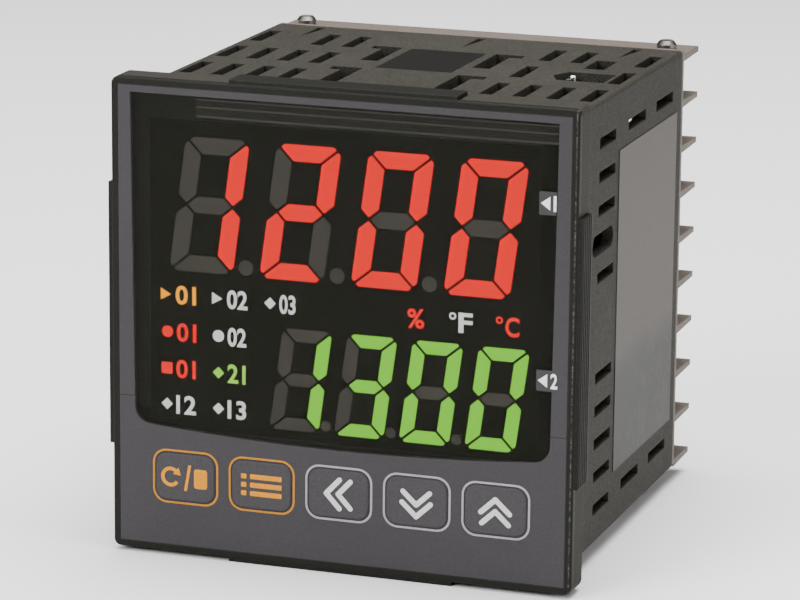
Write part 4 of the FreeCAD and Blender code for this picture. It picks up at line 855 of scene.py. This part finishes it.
def key_outlines():
    """A printed line round every key, and the soft seal that closes the gap inside it."""
    for number, x in enumerate(KEY_PLACES, start=1):
        colour = INKS["line_orange"] if number <= ORANGE_KEYS else INKS["line_light"]
        print_ring("key_line_%d" % number, round_cap(x, *LINE_OUTER), round_cap(x, *LINE_INNER), FACE, colour)
        print_ring("key_seal_%d" % number, round_cap(x, *SEAL_OUTER), round_cap(x, *SEAL_INNER), SEAL_BACK,
                   MATERIALS["face_grey"], thick=SEAL_THICK)


def turning_arrow(x, z):
    """A turning arrow left of the middle."""
    inner, outer = TURN_RADII
    middle = (inner + outer)/2
    centre = x - TURN_ASIDE
    start, end = TURN_ANGLES
    cosine, sine = math.cos(start), math.sin(start)
    turn = arc_band(centre, z, inner, outer, start, end)
    radii = (inner - TURN_BARB, outer + TURN_BARB)
    barbs = [(centre + radius*cosine, z + radius*sine) for radius in radii]
    tip = (centre + middle*cosine + TURN_TIP*sine, z + middle*sine - TURN_TIP*cosine)
    return [turn, [barbs[0], tip, barbs[1]]]


def slash_and_block(x, z):
    """A slash in the middle and a block right of it."""
    low, high = z - SLASH_HALF, z + SLASH_HALF
    foot, top = x + SLASH_FOOT, x + SLASH_TOP
    slash = [(foot, low), (foot + SLASH_WIDE, low), (top + SLASH_WIDE, high), (top, high)]
    return [slash, small_block(x + BLOCK_ASIDE, z, BLOCK_WIDE, BLOCK_HIGH, BLOCK_CORNER)]


def list_rows(x, z):
    """Three rows of a list, each a dot and a line."""
    rows = []
    for step in (-1, 0, 1):
        for aside, wide in (LIST_DOT, LIST_LINE):
            rows.append(small_block(x + aside, z + LIST_PITCH*step, wide, LIST_HIGH, LIST_CORNER))
    return rows


def chevron(x, z, direction, reach, half):
    """A V drawn with a round pen; its outer tip lies at the place given and points along an angle."""
    pen = ARROW_STROKE/2
    lean = math.atan2(half, reach)
    steep = QUARTER - lean
    outline = arc_points(-pen, 0.0, pen, -steep, steep, TIP_STEPS)
    outline += arc_points(-reach, half - pen, pen, steep, steep + math.pi, END_STEPS)
    outline.append((-pen - pen/math.sin(lean), 0.0))
    outline += arc_points(-reach, pen - half, pen, QUARTER + lean, QUARTER + lean + math.pi, END_STEPS)
    cosine, sine = math.cos(direction), math.sin(direction)
    return [(x + u*cosine - v*sine, z + u*sine + v*cosine) for u, v in outline]


def double_arrow(x, z, direction):
    """Two V shapes, one behind the other, that point in a direction given in degrees."""
    angle = math.radians(direction)
    side, lift = math.cos(angle), math.sin(angle)
    middle = z - ARROW_DROP if direction == DOWN else z
    arrows = []
    for aside, above, reach, half in ARROW_PAIR:
        arrows.append(chevron(x + aside*side, middle + above*lift, angle, reach, half))
    return arrows


def key_signs():
    """A turning arrow with a block, a list, and three double arrows."""
    places = [(x, KEY_HEIGHT) for x in KEY_PLACES]
    signs = [
        (turning_arrow(*places[0]) + slash_and_block(*places[0]), "key_orange"),
        (list_rows(*places[1]), "key_orange"),
        (double_arrow(*places[2], LEFT), "key_light"),
        (double_arrow(*places[3], DOWN), "key_light"),
        (double_arrow(*places[4], UP), "key_light"),
    ]
    for number, (outlines, colour) in enumerate(signs, start=1):
        print_shapes("key_sign_%d" % number, outlines, KEY_FACE, INKS[colour], body="button_%d" % number)


# Behind the slots

def bright_tab(name, across, depths, heights, lean=0.0):
    """A small tinned tab between two ends in each direction; its top leans back by a distance."""
    mesh = bmesh.new()
    bmesh.ops.create_cube(mesh, size=1.0)
    for corner in mesh.verts:
        sides = zip((across, depths, heights), corner.co)
        x, y, z = [ends[0] if side < 0 else ends[1] for ends, side in sides]
        corner.co = point(x, y + (lean if z == heights[1] else 0.0), z)
    bmesh.ops.bevel(mesh, geom=mesh.edges[:], offset=TAB_ROUND*MM, segments=2, affect="EDGES")
    finish_piece(name, mesh, TIN, BODY)


def sink_tabs():
    """The heat sink's tabs: one stands up at the rear of the wide port, one shows in a side slot."""
    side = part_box("heat_sink")[0].x/MM
    reach = [side + offset for offset in PORT_TAB_REACH]
    bright_tab("sink_tab_port", reach, PORT_TAB_DEPTHS, PORT_TAB_HEIGHTS, PORT_TAB_LEAN)
    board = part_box("right_board")[1].x/MM
    bright_tab("sink_tab_side", (board, SIDE_TAB_END), SIDE_TAB_DEPTHS, SIDE_TAB_HEIGHTS)


# Studio

def pale_floor():
    """A pale floor, slightly cloudy, just under the frame and the case."""
    material, tree, shader = new_material("studio_floor")
    cloud = noise(tree, surface_place(tree), scale=3.0)
    tones = ((0.86, 0.86, 0.86, 1.0), (0.9, 0.9, 0.9, 1.0))
    feed(tree, shader, (("Base Color", blended(tree, cloud, *tones)), ("Roughness", 0.7)))
    mesh = bmesh.new()
    bmesh.ops.create_grid(mesh, x_segments=1, y_segments=1, size=FLOOR_HALF)
    data = bpy.data.meshes.new("studio_floor")
    mesh.to_mesh(data)
    mesh.free()
    data.materials.append(material)
    floor = bpy.data.objects.new("studio_floor", data)
    floor.location.z = min(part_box(name)[0].z for name in ("front_frame", "rear_case")) - FLOOR_GAP
    bpy.context.scene.collection.objects.link(floor)


def soft_sky():
    """An even sky, brighter towards the top."""
    world = bpy.data.worlds.new("studio_world")
    world.use_nodes = True
    tree = world.node_tree
    direction = add(tree, "ShaderNodeTexCoord").outputs["Generated"]
    height = add(tree, "ShaderNodeSeparateXYZ", ((0, direction),)).outputs[2]
    brightness = ranged(tree, height, low=0.15, high=0.6, to_low=0.35, to_high=2.0)
    tree.links.new(brightness, tree.nodes["Background"].inputs[1])
    bpy.context.scene.world = world


def soft_lights():
    """Square lights from the left, above and right, turned to the controller."""
    for name, place, side, power in LIGHTS:
        data = bpy.data.lights.new(name, "AREA")
        data.shape = "SQUARE"
        data.size = side
        data.energy = power
        light = bpy.data.objects.new(name, data)
        light.location = place
        light.rotation_euler = (AIM - Vector(place)).to_track_quat("-Z", "Y").to_euler()
        bpy.context.scene.collection.objects.link(light)


def camera():
    """The photograph's viewing angle."""
    back = Vector((math.sin(CAMERA_AZIMUTH)*math.cos(CAMERA_ELEVATION),
                   -math.cos(CAMERA_AZIMUTH)*math.cos(CAMERA_ELEVATION),
                   math.sin(CAMERA_ELEVATION)))
    right = Vector((0.0, 0.0, 1.0)).cross(back).normalized()
    up = back.cross(right)
    turned_right = right*math.cos(CAMERA_ROLL) + up*math.sin(CAMERA_ROLL)
    turned_up = up*math.cos(CAMERA_ROLL) - right*math.sin(CAMERA_ROLL)
    turned = Matrix((turned_right, turned_up, back)).transposed().to_4x4()
    data = bpy.data.cameras.new("camera")
    data.lens = LENS
    data.sensor_width = SENSOR
    data.clip_start = NEAR_LIMIT
    viewer = bpy.data.objects.new("camera", data)
    viewer.matrix_world = Matrix.Translation(CAMERA_PLACE) @ turned
    bpy.context.scene.collection.objects.link(viewer)
    bpy.context.scene.camera = viewer


dress_solids()
lamp_film()
status_signs()
unit_signs()
window_border()
window_stripes()
row_tags()
key_outlines()
key_signs()
sink_tabs()
pale_floor()
soft_sky()
soft_lights()
camera()
